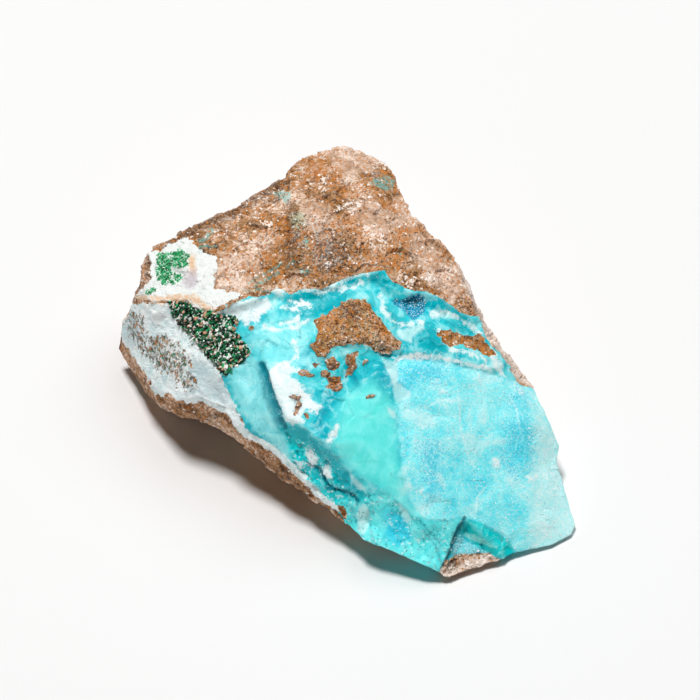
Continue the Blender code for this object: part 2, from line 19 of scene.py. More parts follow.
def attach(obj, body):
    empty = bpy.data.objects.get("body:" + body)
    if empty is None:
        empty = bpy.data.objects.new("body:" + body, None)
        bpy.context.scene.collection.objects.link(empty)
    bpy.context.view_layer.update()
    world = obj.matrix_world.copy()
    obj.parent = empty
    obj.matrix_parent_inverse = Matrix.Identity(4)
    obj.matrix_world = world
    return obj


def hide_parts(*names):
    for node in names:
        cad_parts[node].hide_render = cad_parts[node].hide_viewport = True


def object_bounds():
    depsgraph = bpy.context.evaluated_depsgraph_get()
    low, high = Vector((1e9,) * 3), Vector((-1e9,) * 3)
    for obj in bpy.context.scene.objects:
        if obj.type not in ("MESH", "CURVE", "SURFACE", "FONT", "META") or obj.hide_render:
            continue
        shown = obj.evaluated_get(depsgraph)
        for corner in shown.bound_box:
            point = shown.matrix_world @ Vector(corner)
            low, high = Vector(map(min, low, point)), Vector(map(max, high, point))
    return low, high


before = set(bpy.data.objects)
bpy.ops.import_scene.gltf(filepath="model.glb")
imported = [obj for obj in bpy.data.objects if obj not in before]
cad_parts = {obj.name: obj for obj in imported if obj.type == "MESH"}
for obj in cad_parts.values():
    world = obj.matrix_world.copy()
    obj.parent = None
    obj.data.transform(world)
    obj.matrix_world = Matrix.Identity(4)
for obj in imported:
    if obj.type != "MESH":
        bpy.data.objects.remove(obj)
CAD_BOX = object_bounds()

bl_info = {
    "name": "Chrysocolla specimen",
    "version": (1, 0, 0),
    "blender": (4, 5, 0),
    "location": "View3D > Sidebar > Specimen",
    "description": "A broken lump of quartz rock with a seam of chrysocolla laid open across it",
    "category": "Object",
}

MM = 0.001
SPECIMEN = "chrysocolla_specimen"
SIGHT_DEG = 55.0
SIGHT_SIN, SIGHT_COS = math.sin(math.radians(SIGHT_DEG)), math.cos(math.radians(SIGHT_DEG))
TO_VIEWER = Vector((0.0, -SIGHT_COS, SIGHT_SIN))
RESTING_CORNER = (-27.0, -39.0)  # leftmost and nearest reach of the resting face, in the outlines' own frame
BROWN_RIM = 0.8  # width in millimetres of the rusty rim of the brown patches
FAR = 3.0  # a zone's distance is not measured beyond this many millimetres

# Zones of the broken side: closed outlines of (across, up).
ZONES = {
    "seam": [
        [(-22.2, 6.2), (-20.3, 7.5), (-18.3, 8), (-16.7, 9), (-14.7, 8.8), (-13.3, 9), (-12.3, 10.3), (-11, 10),
         (-10, 9), (-8.3, 10), (-6.7, 10.2), (-4.8, 10), (-3.2, 10.7), (-1.7, 11.5), (0.3, 12.2), (2.3, 12.8),
         (4.3, 13), (5.7, 13.2), (6.3, 12.2), (7.2, 11.2), (8.3, 10.7), (9.3, 10.2), (10.7, 9.8), (12.7, 9.7),
         (14.5, 8.8), (15.7, 8.2), (17, 7.2), (18, 6.3), (20, 5.7), (21.2, 5.5), (21.7, 4.7), (22.3, 2.8),
         (23.5, 0.8), (24.7, -0.3), (25.8, -1.7), (26.8, -3.2), (27.8, -5), (28.2, -5.7), (29.7, -6), (31.2, -6.7),
         (33, -11.3), (35.5, -16.2), (35.5, -18), (36.5, -22.8), (38.3, -28.3), (37.8, -30.8), (34.5, -32.7),
         (30, -34), (26, -35), (24.5, -34.5), (22.8, -33.5), (20, -33.7), (17.8, -33.7), (17, -34.3), (16, -35),
         (15, -36.5), (14, -37.3), (12.2, -36.8), (8.3, -35.2), (2.8, -32.7), (0, -30.3), (-1.2, -28.2),
         (-2.5, -26.5), (-4.3, -25.2), (-6.3, -23.3), (-9, -20.5), (-11.2, -17.8), (-13, -16.3), (-14.3, -15.3),
         (-16, -14.3), (-17.3, -13), (-18.3, -10.7), (-19.7, -8), (-20.7, -6), (-21.5, -3.8), (-20.8, -3.7),
         (-18.3, -2), (-16.3, -0.3), (-18.3, 2.2), (-19.3, 3.8), (-20.2, 5.3)]
    ],
    "crust": [
        [(-37.3, 5.3), (-36.2, 7.7), (-34.2, 7.8), (-31.5, 7.8), (-30, 7.7), (-28.8, 5.5), (-28, 3.7), (-26, 2.3),
         (-25.2, 0.8), (-23.2, -1.3), (-21.8, -3.2), (-20.7, -6), (-19.7, -8), (-18.3, -10.7), (-17.3, -13),
         (-16, -14.3), (-14.3, -15.3), (-13, -16.3), (-14.7, -15.5), (-16.7, -14.7), (-18, -13.5), (-19.3, -12.3),
         (-20.3, -10.2), (-22.2, -9), (-23.8, -8.5), (-25.5, -8.7), (-26.3, -9), (-29.2, -8.2), (-30.2, -6.8),
         (-31.2, -8), (-32.3, -7.5), (-33.2, -5.3), (-34.7, -3), (-36.3, -0.8), (-38, 1.3), (-38.2, 3.3)]
    ],
    "white_crust": [
        [(-33.3, 16.5), (-31.7, 16.3), (-30.2, 17.5), (-29, 18), (-28, 18.3), (-26.8, 18.7), (-26, 17.7),
         (-25.3, 16.8), (-23.7, 16), (-22.2, 15.5), (-22, 13.2), (-22.5, 11.8), (-22.3, 10.2), (-19.3, 9.8),
         (-18.3, 9.3), (-19, 8.2), (-21.3, 7.2), (-22.5, 6.5), (-24, 6.5), (-26, 7), (-26.8, 8), (-29, 8), (-31.8, 8),
         (-34.2, 8.3), (-35.5, 8.7), (-35.2, 9.5), (-34, 10.7), (-33.2, 11.7), (-33, 13.2), (-33.3, 15.3)]
    ],
    "malachite": [
        [(-30.2, 7.8), (-29, 8), (-27.2, 8.2), (-26.2, 7.2), (-25.5, 6.5), (-24, 6.3), (-23, 6.5), (-21.3, 5.7),
         (-19.8, 5.5), (-19, 4.7), (-19.3, 3.8), (-18.3, 2.2), (-17.2, 0.8), (-16.3, -0.3), (-17.2, -1.5),
         (-18.3, -2.2), (-19.5, -3.2), (-20.7, -4), (-21.8, -3.2), (-23.2, -1.3), (-25.2, 0.8), (-26, 2.3),
         (-28, 3.7), (-29, 5.5)]
    ],
    "bright_green": [
        [(-31.7, 15.7), (-29.8, 16.2), (-27.8, 16.3), (-26.8, 15.5), (-27, 14.2), (-28, 13.7), (-29, 14),
         (-29.8, 14.2), (-30, 13.3), (-29.3, 12.2), (-30.2, 11.5), (-30.8, 11), (-31.5, 11.3), (-32, 12.3),
         (-31.7, 14.2)],
        [(-29, 12.3), (-27.8, 12.5), (-28, 11.5), (-29.3, 10.7), (-30, 11.2)],
        [(-34, 9.7), (-32.7, 10.2), (-32.3, 9.8), (-33.3, 9.3)]
    ],
    "brown": [
        [(-6, 4.8), (-5, 5.3), (-3.5, 6.2), (-2.5, 7.2), (-1.2, 8), (0.3, 8.5), (1.5, 8.5), (2.7, 8.2), (3.3, 7.7),
         (3.8, 6.3), (4.8, 5.3), (5.5, 4.5), (6.3, 3.3), (7.3, 2.3), (8.2, 1.7), (8.2, 0.5), (7.2, -0.3), (5.8, -0.7),
         (4.5, -0.3), (3.5, 0.3), (2, 1), (0.5, 1), (-1, 1), (-2.5, 0.5), (-3.3, -0.3), (-4, -1.3), (-5, -1.2),
         (-6, -0.3), (-6.5, 0.8), (-5.8, 1.7), (-5.3, 2.8), (-5.5, 4)],
        [(-4.2, -1.5), (-3.2, -1.3), (-1.8, -1.7), (-1.8, -2.8), (-2.5, -3.5), (-3.7, -3.3), (-4.2, -2.5)],
        [(-0.5, -0.5), (1.3, -0.3), (1, -1.3), (1.2, -2.8), (0.3, -4), (-0.8, -4.7), (-1.3, -4.2), (-0.3, -2.8),
         (-0.7, -1.7)],
        [(1.3, -1.7), (2.8, -1.8), (2, -2.7)],
        [(-3.8, -4.7), (-2.8, -4.2), (-1.5, -4.5), (-1.3, -6.3), (-2.7, -7), (-3.8, -6)],
        [(-5, -3.5), (-3.8, -3.2), (-2.7, -4), (-4, -4.8), (-4.8, -4.3)],
        [(-8.5, -3.5), (-7.5, -3.2), (-5.8, -4.2), (-7, -4.7), (-8.3, -4.2)],
        [(-6.2, -2.3), (-5, -2.2), (-5.2, -3), (-6, -3.2)],
        [(-10, -7.8), (-9.3, -7.5), (-8.2, -7.7), (-8, -8.7), (-8.5, -9.7), (-8.7, -10.8), (-9.3, -10.7),
         (-9.3, -9.3), (-9, -8.5)],
        [(-7.8, -9.8), (-7.3, -10), (-6.5, -9.7), (-7, -11), (-7.8, -10.7)],
        [(1.8, -7.8), (2.8, -7.5), (4, -7.3), (3.8, -7.8), (2.7, -8.2)],
        [(-19.3, 5), (-18.5, 4.8), (-18.7, 3.7), (-19.2, 4)], [(-17, 3.7), (-16.3, 4), (-16, 3.5), (-16.7, 3.2)],
        [(-22.2, 6.5), (-21, 7.3), (-19.5, 8), (-18.2, 8.3), (-19, 7.7), (-20.5, 6.8), (-21.8, 6.2)],
        [(-2.3, -25.8), (-1.2, -25.7), (-0.5, -26.7), (-0.7, -27.7), (-1.7, -27.2)],
        [(15.5, -35.7), (16, -34.8), (17, -34.5), (17.8, -35), (17.7, -36), (16.7, -36.3), (15.8, -36.3)]
    ],
    "rust_hollow": [
        [(14.5, 2.8), (15.3, 3.2), (16.5, 3.2), (18, 2.8), (19.7, 2.5), (21.7, 2.7), (22.3, 2), (22.8, 0.8),
         (23.7, -0.2), (24.3, -1), (23.3, -1), (22, -0.8), (21.2, 0.2), (19.7, 0.5), (18.3, 0.8), (17, 0.7),
         (16.2, 0.8), (15.3, 1.8)]
    ],
    "vug": [
        [(6.8, 8.2), (7.7, 8.5), (8.8, 8.2), (9.8, 8.8), (11.3, 9.2), (12.3, 8.7), (12.5, 7.7), (12.2, 6.3),
         (11.3, 5.5), (10.5, 5), (9.7, 5.8), (8.8, 6.7), (7.7, 7.3)]
    ],
    "white": [
        [(-22.2, 6.2), (-20.3, 7.2), (-18.7, 7.8), (-16.7, 8.5), (-15.2, 8.7), (-13.7, 8.5), (-13, 8), (-13.3, 6.8),
         (-14.8, 5.2), (-16.7, 4), (-17.7, 4.5), (-18.7, 4.7), (-19.8, 5.5)],
        [(-9.3, 8), (-8.5, 8.2), (-7.2, 7.8), (-6.5, 7.8), (-6.8, 7.2), (-7.8, 7), (-8.7, 7.5)],
        [(-12.5, 10.3), (-11.8, 10), (-11, 9.5), (-11.3, 8.8), (-12.2, 9), (-12.7, 9.5)],
        [(-13.5, -4), (-12.2, -2), (-10.8, -1.5), (-9.7, -2.5), (-8.2, -3.3), (-9.8, -4.2), (-8, -5.3), (-7.5, -6.8),
         (-6.5, -7.7), (-4.8, -9.3), (-5.3, -10.5), (-6.5, -10.3), (-7.3, -9.5), (-8, -11), (-7.7, -11.8),
         (-9.8, -12.3), (-10.8, -11.3), (-11.8, -9.2), (-12.7, -7), (-13.2, -5.3)],
        [(-3.7, -15.2), (-3, -13.3), (-2.2, -11.8), (-1.7, -12.8), (-2.5, -14.5), (-3.2, -15.5)],
        [(-7.5, -17.5), (-7, -16.2), (-6.3, -16.2), (-5.8, -17.2), (-5.2, -17.8), (-5.5, -18.7), (-6.7, -19.3)],
        [(-9, -18.5), (-7.8, -18.8), (-7.8, -19.7), (-8.7, -19.2)],
        [(-5.2, -19.5), (-3.7, -19.3), (-3, -20.7), (-3.5, -21.5), (-4.7, -20.7)],
        [(23.4, -18.2), (24.1, -17.8), (24.9, -18.4), (24.9, -19.6), (24.3, -20), (23.7, -19.3)],
        [(29, -21), (29.8, -20.7), (30.8, -21), (30.6, -21.9), (29.6, -22)],
        [(9.2, -22), (10, -21.8), (10.4, -22.4), (9.6, -22.8)],
        [(11.2, -23.1), (11.9, -22.9), (12.2, -23.6), (11.6, -23.9)],
        [(28.2, -6.6), (28.8, -6.5), (29, -7.2), (28.4, -7.3)], [(14.2, -7), (15.4, -6.4), (16.2, -6.8), (15, -7.4)],
        [(9.3, -1.2), (10.5, -0.7), (11.8, -0.7), (13.3, -1.3), (11.8, -1.8), (10.5, -1.5)],
        [(23, 0), (24.2, -0.7), (24.8, -2.3), (25.5, -4.2), (24.7, -4.3), (24, -2.7), (23, -1)]
    ],
    "pale_lens": [
        [(-0.2, -20), (0.7, -21), (2, -22.3), (2.8, -23.5), (1.3, -22.8), (0.2, -21.7)],
        [(8, -25.3), (9.2, -26.3), (10.2, -28), (9.5, -28.7), (8.3, -27.2)],
        [(1.5, -25.8), (2.7, -25.5), (3.2, -26.8), (3, -29), (2, -30.7), (1.2, -29.5), (1.2, -27.2)],
        [(14, 5.7), (15, 6.7), (16, 6.7), (17.2, 5.5), (18, 5.2), (16.2, 5.2)],
        [(7.7, 3.2), (9, 3.5), (10.5, 4), (11.7, 4.2), (12.3, 3.5), (11.3, 3), (10.3, 2.2), (10.2, 1.2), (8.7, 1.7)],
        [(14, -20), (15, -20.3), (15.7, -21.7), (15.8, -23.3), (14.8, -22.3)],
        [(6, -9.3), (7.5, -10.2), (7.7, -11.3), (6.8, -11.2)],
        [(5.3, -1.3), (6.7, -1.8), (7.8, -2), (8, -3.7), (7.8, -5.3), (9, -6.2), (10.2, -7), (10, -7.8), (8.8, -8.5),
         (7.8, -8.8), (7.3, -7.7), (7.2, -6.2), (6.5, -4), (5.8, -2.7)]
    ],
    "deep": [
        [(-11, 8.4), (-8.4, 9.2), (-5, 9.4), (-3.2, 10.2), (-1, 10.8), (1.5, 11.6), (2.6, 11), (0, 9.9), (-3.4, 9.2),
         (-5.8, 7), (-6.8, 4.4), (-8.4, 4.2), (-9.6, 5.6), (-11, 6.8)],
        [(-6.7, 6.7), (-5.3, 8.5), (-3.3, 9.5), (-0.8, 9.8), (1.3, 9.7), (0.3, 8.7), (-1.7, 7.8), (-3.3, 6.7),
         (-5.3, 5.3), (-7, 5.3)],
        [(2.8, 12.2), (4.3, 12.8), (5.7, 13), (6.3, 11.7), (6, 10), (4.7, 10.7), (3.3, 11.2)],
        [(5.7, 7.3), (7, 6.3), (8.3, 5.3), (9.7, 4.7), (10.2, 3.8), (8.3, 3.7), (7.2, 4.3), (6.2, 5.8)],
        [(10.7, 4.2), (12.3, 4.7), (13.7, 4.7), (14.7, 3.3), (14.5, 2), (16, 0.8), (16.5, -0.5), (15, -1.2),
         (13.3, -0.8), (12.3, 0.3), (11.3, 1.2), (10.8, 2.3)],
        [(16, 4.8), (18, 4.7), (20, 3.8), (21.7, 2.8), (21.3, 2.3), (19.3, 2.7), (17, 3.5)],
        [(3.7, 0), (5.7, -1), (8, -0.8), (9, -0.3), (8.3, -1.7), (6.3, -1.5)],
        [(16.7, 7), (18, 6.5), (19.3, 5.7), (18.7, 5.3), (17, 6)]
    ],
    "shelf": [
        [(-0.8, -7.5), (3.7, -5), (7, -8.3), (8, -15), (8.3, -21.7), (9.2, -25.8), (15, -28.3), (10.8, -27.7),
         (6.3, -23.5), (1.8, -21.3), (-0.5, -19.2), (-2.5, -15.8), (-2, -11.7)]
    ],
    "strip": [
        [(-20.3, -4), (-18.3, -2.2), (-16.3, -0.7), (-14.7, -2.2), (-13.7, -4.3), (-13.2, -7), (-12.2, -9.5),
         (-11, -13), (-10, -15.8), (-8.3, -20), (-10, -19.3), (-12.3, -16), (-14.7, -14), (-16.7, -11.7), (-18.3, -9)]
    ],
    # the lower front facet, painted paler to stand in for the light that it catches
    "front_bright": [
        [(-0.8, -25.8), (2, -24.5), (6.3, -23.5), (10.8, -27.7), (15.8, -28.2), (18.7, -27.7), (17, -32.5),
         (14.7, -37), (8.3, -35.2), (2.8, -32.7), (0.3, -30.3)]
    ],
    "pale_left": [
        [(-17.5, 2.2), (-15.8, 3.5), (-12.5, 5.2), (-8.3, 4.5), (-7, 1), (-8, -2.5), (-12.5, -2.4), (-16, -0.6)]
    ],
    "front_cyan": [[(5.8, -26.3), (9.2, -27.5), (10, -30.8), (8, -32.5), (5.8, -30.8)]],
    "olive": [
        [(-10, 20.8), (-5.3, 21.3), (-0.8, 20.7), (2, 17.5), (1.7, 13.7), (-3.3, 12), (-8.3, 11.3), (-10.8, 13.3),
         (-11.3, 17.5)]
    ],
    "fragments": [
        [(-10.5, -2.6), (-4.4, -1.1), (3.2, -0.6), (4.4, -7.2), (2.2, -8.6), (-6.4, -11.4), (-10.5, -11.2)]
    ],
    "crust_shade": [
        [(-26, -1), (-23.4, -2.4), (-21, -6), (-19, -10), (-21, -9), (-24, -8.2), (-26.6, -7.4), (-27.2, -4)],
        [(-37.4, 4.6), (-36.6, 6.4), (-35.4, 5.6), (-34.8, 1.6), (-36.2, 0.6), (-37.8, 2)]
    ],
    "lilac": [[(-27.5, 13), (-25.5, 13.2), (-25.2, 11), (-26.4, 10), (-27.6, 10.8)]],
    "facet": [
        [(-11, -13.3), (-7.3, -15), (-3.5, -18.3), (-0.7, -22.7), (2.5, -24), (6.3, -23.5), (10.8, -27.7),
         (15.8, -28.2), (18.7, -27.7), (17, -32.5), (14.7, -37), (8.3, -35.2), (2.8, -32.7), (0, -30.3),
         (-2.5, -26.5), (-6.3, -23.3), (-9, -20.5), (-10, -16.7)]
    ],
    "slab": [
        [(7.8, -3), (8, -2), (10.2, -1.5), (12.7, -1.8), (16.5, -2), (18.3, -2.8), (21.5, -3.5), (24.2, -4.3),
         (27, -5.5), (28, -5.8), (31.2, -6.7), (33, -11.3), (35.5, -16.2), (35.5, -18), (36.5, -22.8), (38.3, -28.3),
         (37.8, -30.8), (34.5, -32.7), (30, -34), (27, -33), (24.5, -30.2), (21.5, -28.5), (19, -27.5), (15.8, -28.2),
         (12.5, -28), (10, -25), (8.7, -20), (8, -13.3), (8, -9.2), (10.2, -7.5), (9, -6), (8, -5)]
    ],
    "blotches": [
        [(25.8, -12.5), (28.3, -10.8), (30, -12.5), (30.5, -16.7), (30, -19.3), (27.5, -20), (25, -18.7),
         (26.3, -15.8)],
        [(12.3, -15.8), (14, -15), (14.7, -17.5), (14.7, -23.3), (13.3, -24.5), (12.5, -21.7)],
        [(8, -2.2), (11.7, -2), (15, -3), (15.8, -4.7), (11.7, -5), (8.3, -7)],
        [(27, -7.5), (28.3, -7), (29, -8.7), (27.7, -10)]
    ],
    # the thin right edge of the slab: pale translucent quartz, painted paler still for the light that shines through it
    "pale_rim": [
        [(30.8, -5.8), (33, -11), (35.2, -16.2), (35, -18.3), (36.2, -22.8), (37.8, -28.3), (37.3, -30.7),
         (34.3, -32.3), (30, -33.5)]
    ],
    "notch_green": [
        [(19, -27.8), (21.5, -28.5), (24.5, -30.2), (26.8, -32), (27, -33.2), (26, -34.5), (24.3, -34.3), (23, -33.7),
         (21.7, -32.8), (20, -31.7), (18.8, -30.5), (18.3, -29.5)]
    ],
    "notch_lens": [
        [(18.5, -30.5), (19.3, -30.2), (20.7, -30.5), (22.3, -31.5), (24.3, -32.7), (23.2, -32.7), (21.2, -31.8),
         (19.7, -31.3)]
    ],
    "notch_druse": [
        [(17.5, -31.2), (18.2, -30.5), (19.3, -31.7), (21.3, -32.8), (23, -33.5), (21.3, -33.8), (19.7, -33.7),
         (18, -34), (17, -34.3), (17, -33)]
    ],
    "shelf_shade": [
        [(-10.8, -13), (-9.2, -12.3), (-7.3, -13), (-5.7, -14.7), (-3.5, -16.2), (-2.2, -17.2), (-0.8, -19.3),
         (0.5, -21.2), (2, -22.8), (2.5, -24), (0.8, -23.7), (-0.7, -22.7), (-2.2, -20.7), (-3.5, -18.7), (-5.7, -17),
         (-7.3, -15.2), (-9.2, -13.8), (-10.8, -13.8)]
    ],
    # pale quartz of the right edge and of the bottom tongue; at the thin right edge it is painted paler still for the
    # light that shines through it
    "right_sliver": [
        [(17.7, 14.7), (18.8, 11.5), (19.7, 9.5), (21, 7.3), (21.7, 5), (22.3, 2.8), (23.5, 0.8), (24.7, -0.3),
         (25.8, -1.7), (26.8, -3.2), (28, -5), (29.7, -5.8), (31, -7), (31.7, -6.3), (27, -0.8), (24, 3.3), (22, 7.3),
         (20.7, 11), (19, 14.7)],
        [(14.2, -37.2), (17.5, -35.6), (22.8, -33.4), (27.5, -34), (26.5, -36), (16.5, -39)]
    ],
    "pale_quartz": [
        [(-4.2, 33.3), (-0.8, 33.8), (3.7, 32.8), (5.8, 31.2), (5, 28.7), (1.7, 29.7), (-0.8, 28.7), (-3, 30)],
        [(7.5, 25), (9.2, 24.2), (11.7, 20), (15, 16.7), (18.3, 12.5), (19.2, 9.2), (16.7, 8.3), (13.3, 10.8),
         (10.8, 14.7), (8.3, 17.5), (6.7, 21.3)],
        [(-0.8, 24.2), (3.3, 25.7), (7.5, 22.5), (8.3, 19.2), (5, 18.3), (1.7, 20.3), (0, 22)],
        [(-8.3, 24.2), (-5, 25), (-2.5, 22.5), (-3.3, 20.3), (-6.3, 19), (-8.7, 19.7)],
        [(-22.5, 14.7), (-19.2, 15.8), (-14.7, 14.7), (-13.7, 11.7), (-17.5, 10.5), (-21.3, 10.5)]
    ],
    "rusty": [
        [(-2.5, 22.5), (0, 23.3), (1.3, 21.3), (-0.3, 19.7), (-2, 20.3)],
        [(6.7, 20.8), (9.7, 20.3), (10.3, 17.5), (8.3, 14.7), (5, 13.7), (3.7, 15.8), (5.8, 18.3)],
        [(-8.3, 31.7), (-3.3, 32), (-0.8, 29.2), (-3.3, 26.7), (-6.7, 28)],
        [(5.8, 30.3), (8, 29), (7.7, 26.7), (5, 28.3)],
        [(-14.7, 15.8), (-11.7, 16.7), (-9.7, 14.7), (-10.8, 11.7), (-14.2, 11.7)]
    ],
    # darker rock, and painted shade in the groove down the middle of the brown top
    "dark_rock_and_painted_shade": [
        [(-33.3, 17), (-28.3, 19.7), (-22.5, 23), (-15, 26.7), (-10.3, 28.7), (-10, 27.3), (-14.7, 25), (-21.7, 21.3),
         (-27.5, 18.3)],
        [(15.2, -36), (16, -35), (17, -34.4), (18.6, -34.5), (18, -36), (16.3, -36.8)],
        [(-10.3, 24.2), (-9, 24.7), (-8.3, 20.8), (-8.7, 16.7), (-10.3, 14.7), (-11.3, 17.5), (-10, 20.8)],
        [(-1.6, 7.4), (1, 7.9), (2, 6.4), (0.6, 5), (-1.2, 5.6)],
        [(-5.8, 18.3), (-1.7, 19), (0.3, 16.3), (-0.8, 13), (-4.7, 12.7), (-6.3, 15.3)],
        [(-33.8, 16.7), (-33, 16.3), (-33.3, 12), (-35.3, 9.3), (-36, 8.3), (-35.7, 11.2), (-34.5, 14.7)]
    ],
    "teal_flecks": [
        [(-12.8, 26.3), (-11.7, 26.8), (-9.8, 26.5), (-10, 25.2), (-10.8, 24.5), (-11.7, 25.3), (-12.7, 25.3)],
        [(-24, 18.8), (-23.3, 20.3), (-22.7, 20.8), (-22.7, 19.7), (-23.8, 18.3), (-25, 17.7), (-25.2, 18.2)],
        [(3.3, 28), (4.5, 28.7), (6.7, 29), (7.7, 28.3), (7.3, 27), (6, 26.7), (4.2, 27.2)],
        [(-7.5, 19), (-6.8, 18.8), (-6.7, 17.5), (-7.3, 17.2), (-7.7, 18)],
        [(-8.2, 13.7), (-7.2, 13.8), (-6.7, 13), (-7.3, 12.2), (-8.2, 12.7)],
        [(8, 17.7), (8.7, 17), (8.8, 15.7), (8.2, 16)]
    ],
    "stain": [[(-9.8, 22.3), (-8.5, 22.8), (-7.3, 22), (-7.7, 20.3), (-9, 19.5), (-10, 20.7)]],
    "speckled": [
        [(-36.5, 6.2), (-35.7, 6.3), (-34.8, 5.3), (-34.5, 3.7), (-33.8, 2), (-34, 0), (-34.5, -0.3), (-35.3, 1.2),
         (-36.2, 2.8), (-36.7, 4.7)],
        [(-33.7, 1.7), (-31.7, 2.8), (-29.7, 1.7), (-27.5, -0.3), (-26.3, -2), (-27.3, -3.3), (-30, -3.7),
         (-32, -2.7), (-33.7, -0.8)],
        [(-29.5, -3), (-28, -3.3), (-26.7, -4.3), (-25.3, -5), (-25.5, -6.3), (-27, -6.2), (-28.5, -5.3),
         (-29.7, -4.2)]
    ],
}
# Zones that follow lines: the lines, and half their width in millimetres.
LINES = {
    # a dark band along the top of the front facet, below the shelf's edge: painted shade, with the deeper colour there
    "facet_dark": ([
        [(-10.8, -13), (-8.3, -14.3), (-5.8, -16.5), (-3.8, -18.7), (-2.1, -21.2), (-0.3, -23.4), (1.5, -24.6)],
        [(-6.8, -19.6), (-4.6, -20.2), (-3.2, -22.6), (-0.9, -23.6)]
    ], 0.85),
    "strip_shade": ([[(-14.6, -2.6), (-13.9, -4.4), (-13.2, -6.6), (-12.6, -8.8), (-11.8, -11), (-11, -13)]], 0.8),
    "cream": ([
        [(-35.2, 8.6), (-31.4, 8.2), (-28, 8.6), (-25.5, 8.4), (-23.6, 6.8), (-22.5, 6.4)],
        [(-26.2, 15.2), (-26, 12.8)]
    ], 0.5),
    "ochre": ([
        [(4.9, 30.5), (7.2, 30), (7.6, 28.5)], [(-2.3, 26.9), (0.5, 26.2), (3.6, 26.4), (7.6, 23.3)],
        [(2.2, 22.4), (1.3, 19.7), (2.7, 16.1), (3.6, 13.6)],
        [(12.6, 20.1), (9.4, 19.7), (8.1, 20.1), (8.5, 17), (7.6, 14.7)], [(-9.7, 27), (-6, 29.5), (-4.5, 31.5)],
        [(-15, 22.3), (-13.4, 21.2), (-10.6, 21.8), (-9.9, 19.2), (-12, 18.3)],
        [(-3.6, 12.6), (0.3, 14), (4.5, 15.4), (6.8, 14.2)], [(2.6, 7.4), (3.8, 5.2), (5.4, 3.2)],
        [(-4.8, 4.4), (-3.4, 5.4)], [(13, 13.6), (15.6, 15.4), (16.6, 13.9)],
        [(-20.5, 12.4), (-18, 13.5), (-15, 12.2)]
    ], 0.55),
    "white_flecks": ([
        [(-4.7, 29.2), (-4.4, 28), (-4.7, 26.8)], [(-1.9, 23.5), (0.2, 24.5), (1.9, 24.5), (0.4, 23.2)],
        [(2.6, 20), (3.2, 19.4)], [(5.2, 18.6), (5.7, 18)], [(9.2, 12.2), (9.8, 11.2), (10.6, 11.6), (9.9, 10.6)],
        [(13.3, 12.4), (13.8, 11.8)], [(16.6, 13.2), (17, 12.6)], [(-19.9, 12.9), (-18.6, 12.4), (-17.8, 12.9)],
        [(-4.4, 14.2), (-3.8, 13.9)], [(-14.8, 21.6), (-13.6, 20.7), (-12.9, 21.2)], [(5.2, 31.2), (6.4, 30.6)]
    ], 0.3),
    "streaks": ([
        [(-10.1, 8.1), (-7.9, 7.7), (-6.6, 7.2)], [(-11.2, 7.2), (-8.4, 6.6), (-8.8, 4.9), (-11.4, 4.2)],
        [(-14.2, 3.8), (-11.8, 3.3), (-8.8, 3.8), (-7.1, 4.6)],
        [(5, 8.7), (5.7, 6.4), (7.2, 4.7), (9.4, 4.1), (12, 4.7)],
        [(13.7, 5.9), (15.9, 6.4), (17.6, 5.5), (19.3, 4.4), (21.5, 2.9)],
        [(7.6, -1.6), (11.1, -0.8), (14.6, -1.2), (17.6, -1.9), (23.2, -3.2)],
        [(-7.8, 9.8), (-5.3, 10.2), (-3.3, 10.8), (-1.3, 11.5), (0.3, 12), (2.7, 12.5)],
        [(-5.3, 9.5), (-2.5, 10.3), (0, 10.3), (1.7, 11)], [(-10.4, -2.4), (-8.6, -0.6), (-9.2, 1.4)],
        [(14.6, 3.2), (16.8, 0.2), (19.6, -0.4), (22.6, -1.6)]
    ], 0.3),
    "front_lines": ([
        [(0, -25.8), (1, -28.3), (2, -30.7)], [(3.7, -25), (3, -27.5), (3.8, -31.7), (6.7, -33.7)],
        [(7.5, -25), (11.7, -29.2), (14.3, -32.5), (15.2, -36)], [(11, -27.7), (14, -31), (16, -33.5)]
    ], 0.12),
    "slab_lines": ([
        [(17.8, -6.8), (18.4, -13.6), (19.4, -17), (20.6, -19.4)], [(26.4, -7.4), (27.6, -9.8), (28.1, -13)],
        [(12.4, -9.6), (15, -8.2), (18.6, -8.4)], [(31.6, -13.2), (33.6, -16.6), (33.4, -19.6)],
        [(20.6, -27.8), (21, -24.4), (22.6, -22.4)]
    ], 0.14),
    "pale_stain": ([[(2.7, 5.3), (3.2, 3.3), (4.3, 1.3)]], 0.6),
    # dark teal lines in the creases: painted shade, with the deeper colour of the chrysocolla there
    "crease": ([
        [(-14.7, -2.3), (-13.8, -4), (-13.2, -6.3), (-12.5, -8.3), (-11.7, -10.5), (-10.8, -12.8)],
        [(-6.8, -19.2), (-5.3, -19.7), (-4.5, -21.3), (-3.7, -22.8), (-2, -23.2), (-0.8, -23.7), (0.7, -24.2),
         (1.3, -25)],
        [(19, -27.8), (17.7, -30.3), (17, -32.5), (16.2, -34.3), (15.2, -36.3)]
    ], 0.35),
    "teal_flecks": ([
        [(-16.7, 11.2), (-14.7, 12.3), (-12.5, 13.7), (-11.2, 14.7)],
        [(-16, 10.5), (-13.7, 11.8), (-11.7, 13), (-9.3, 14.7)], [(-17.7, 10), (-15.3, 10), (-13.3, 9.7)],
        [(-25.3, 17), (-24, 17.3), (-22.2, 17.5)]
    ], 0.2),
    "hem": ([
        [(-23.8, -8.7), (-20.3, -10.3), (-19, -12.3), (-17.3, -14), (-14.7, -15.2), (-13, -16.2), (-11.2, -17.7),
         (-8.8, -20.3), (-6.3, -23), (-4, -25), (-2, -26.3)]
    ], 0.55),
    "hem_cracks": ([
        [(-18.3, -11), (-17, -12.3), (-15.7, -13.3), (-14.7, -14.5)],
        [(-18.3, -9), (-16.7, -11.5), (-14.7, -13.8), (-12.3, -15.7), (-10, -19), (-8.3, -21)]
    ], 0.12),
}
FRAYED = ("brown", "rust_hollow", "crust", "white_crust", "malachite", "bright_green")
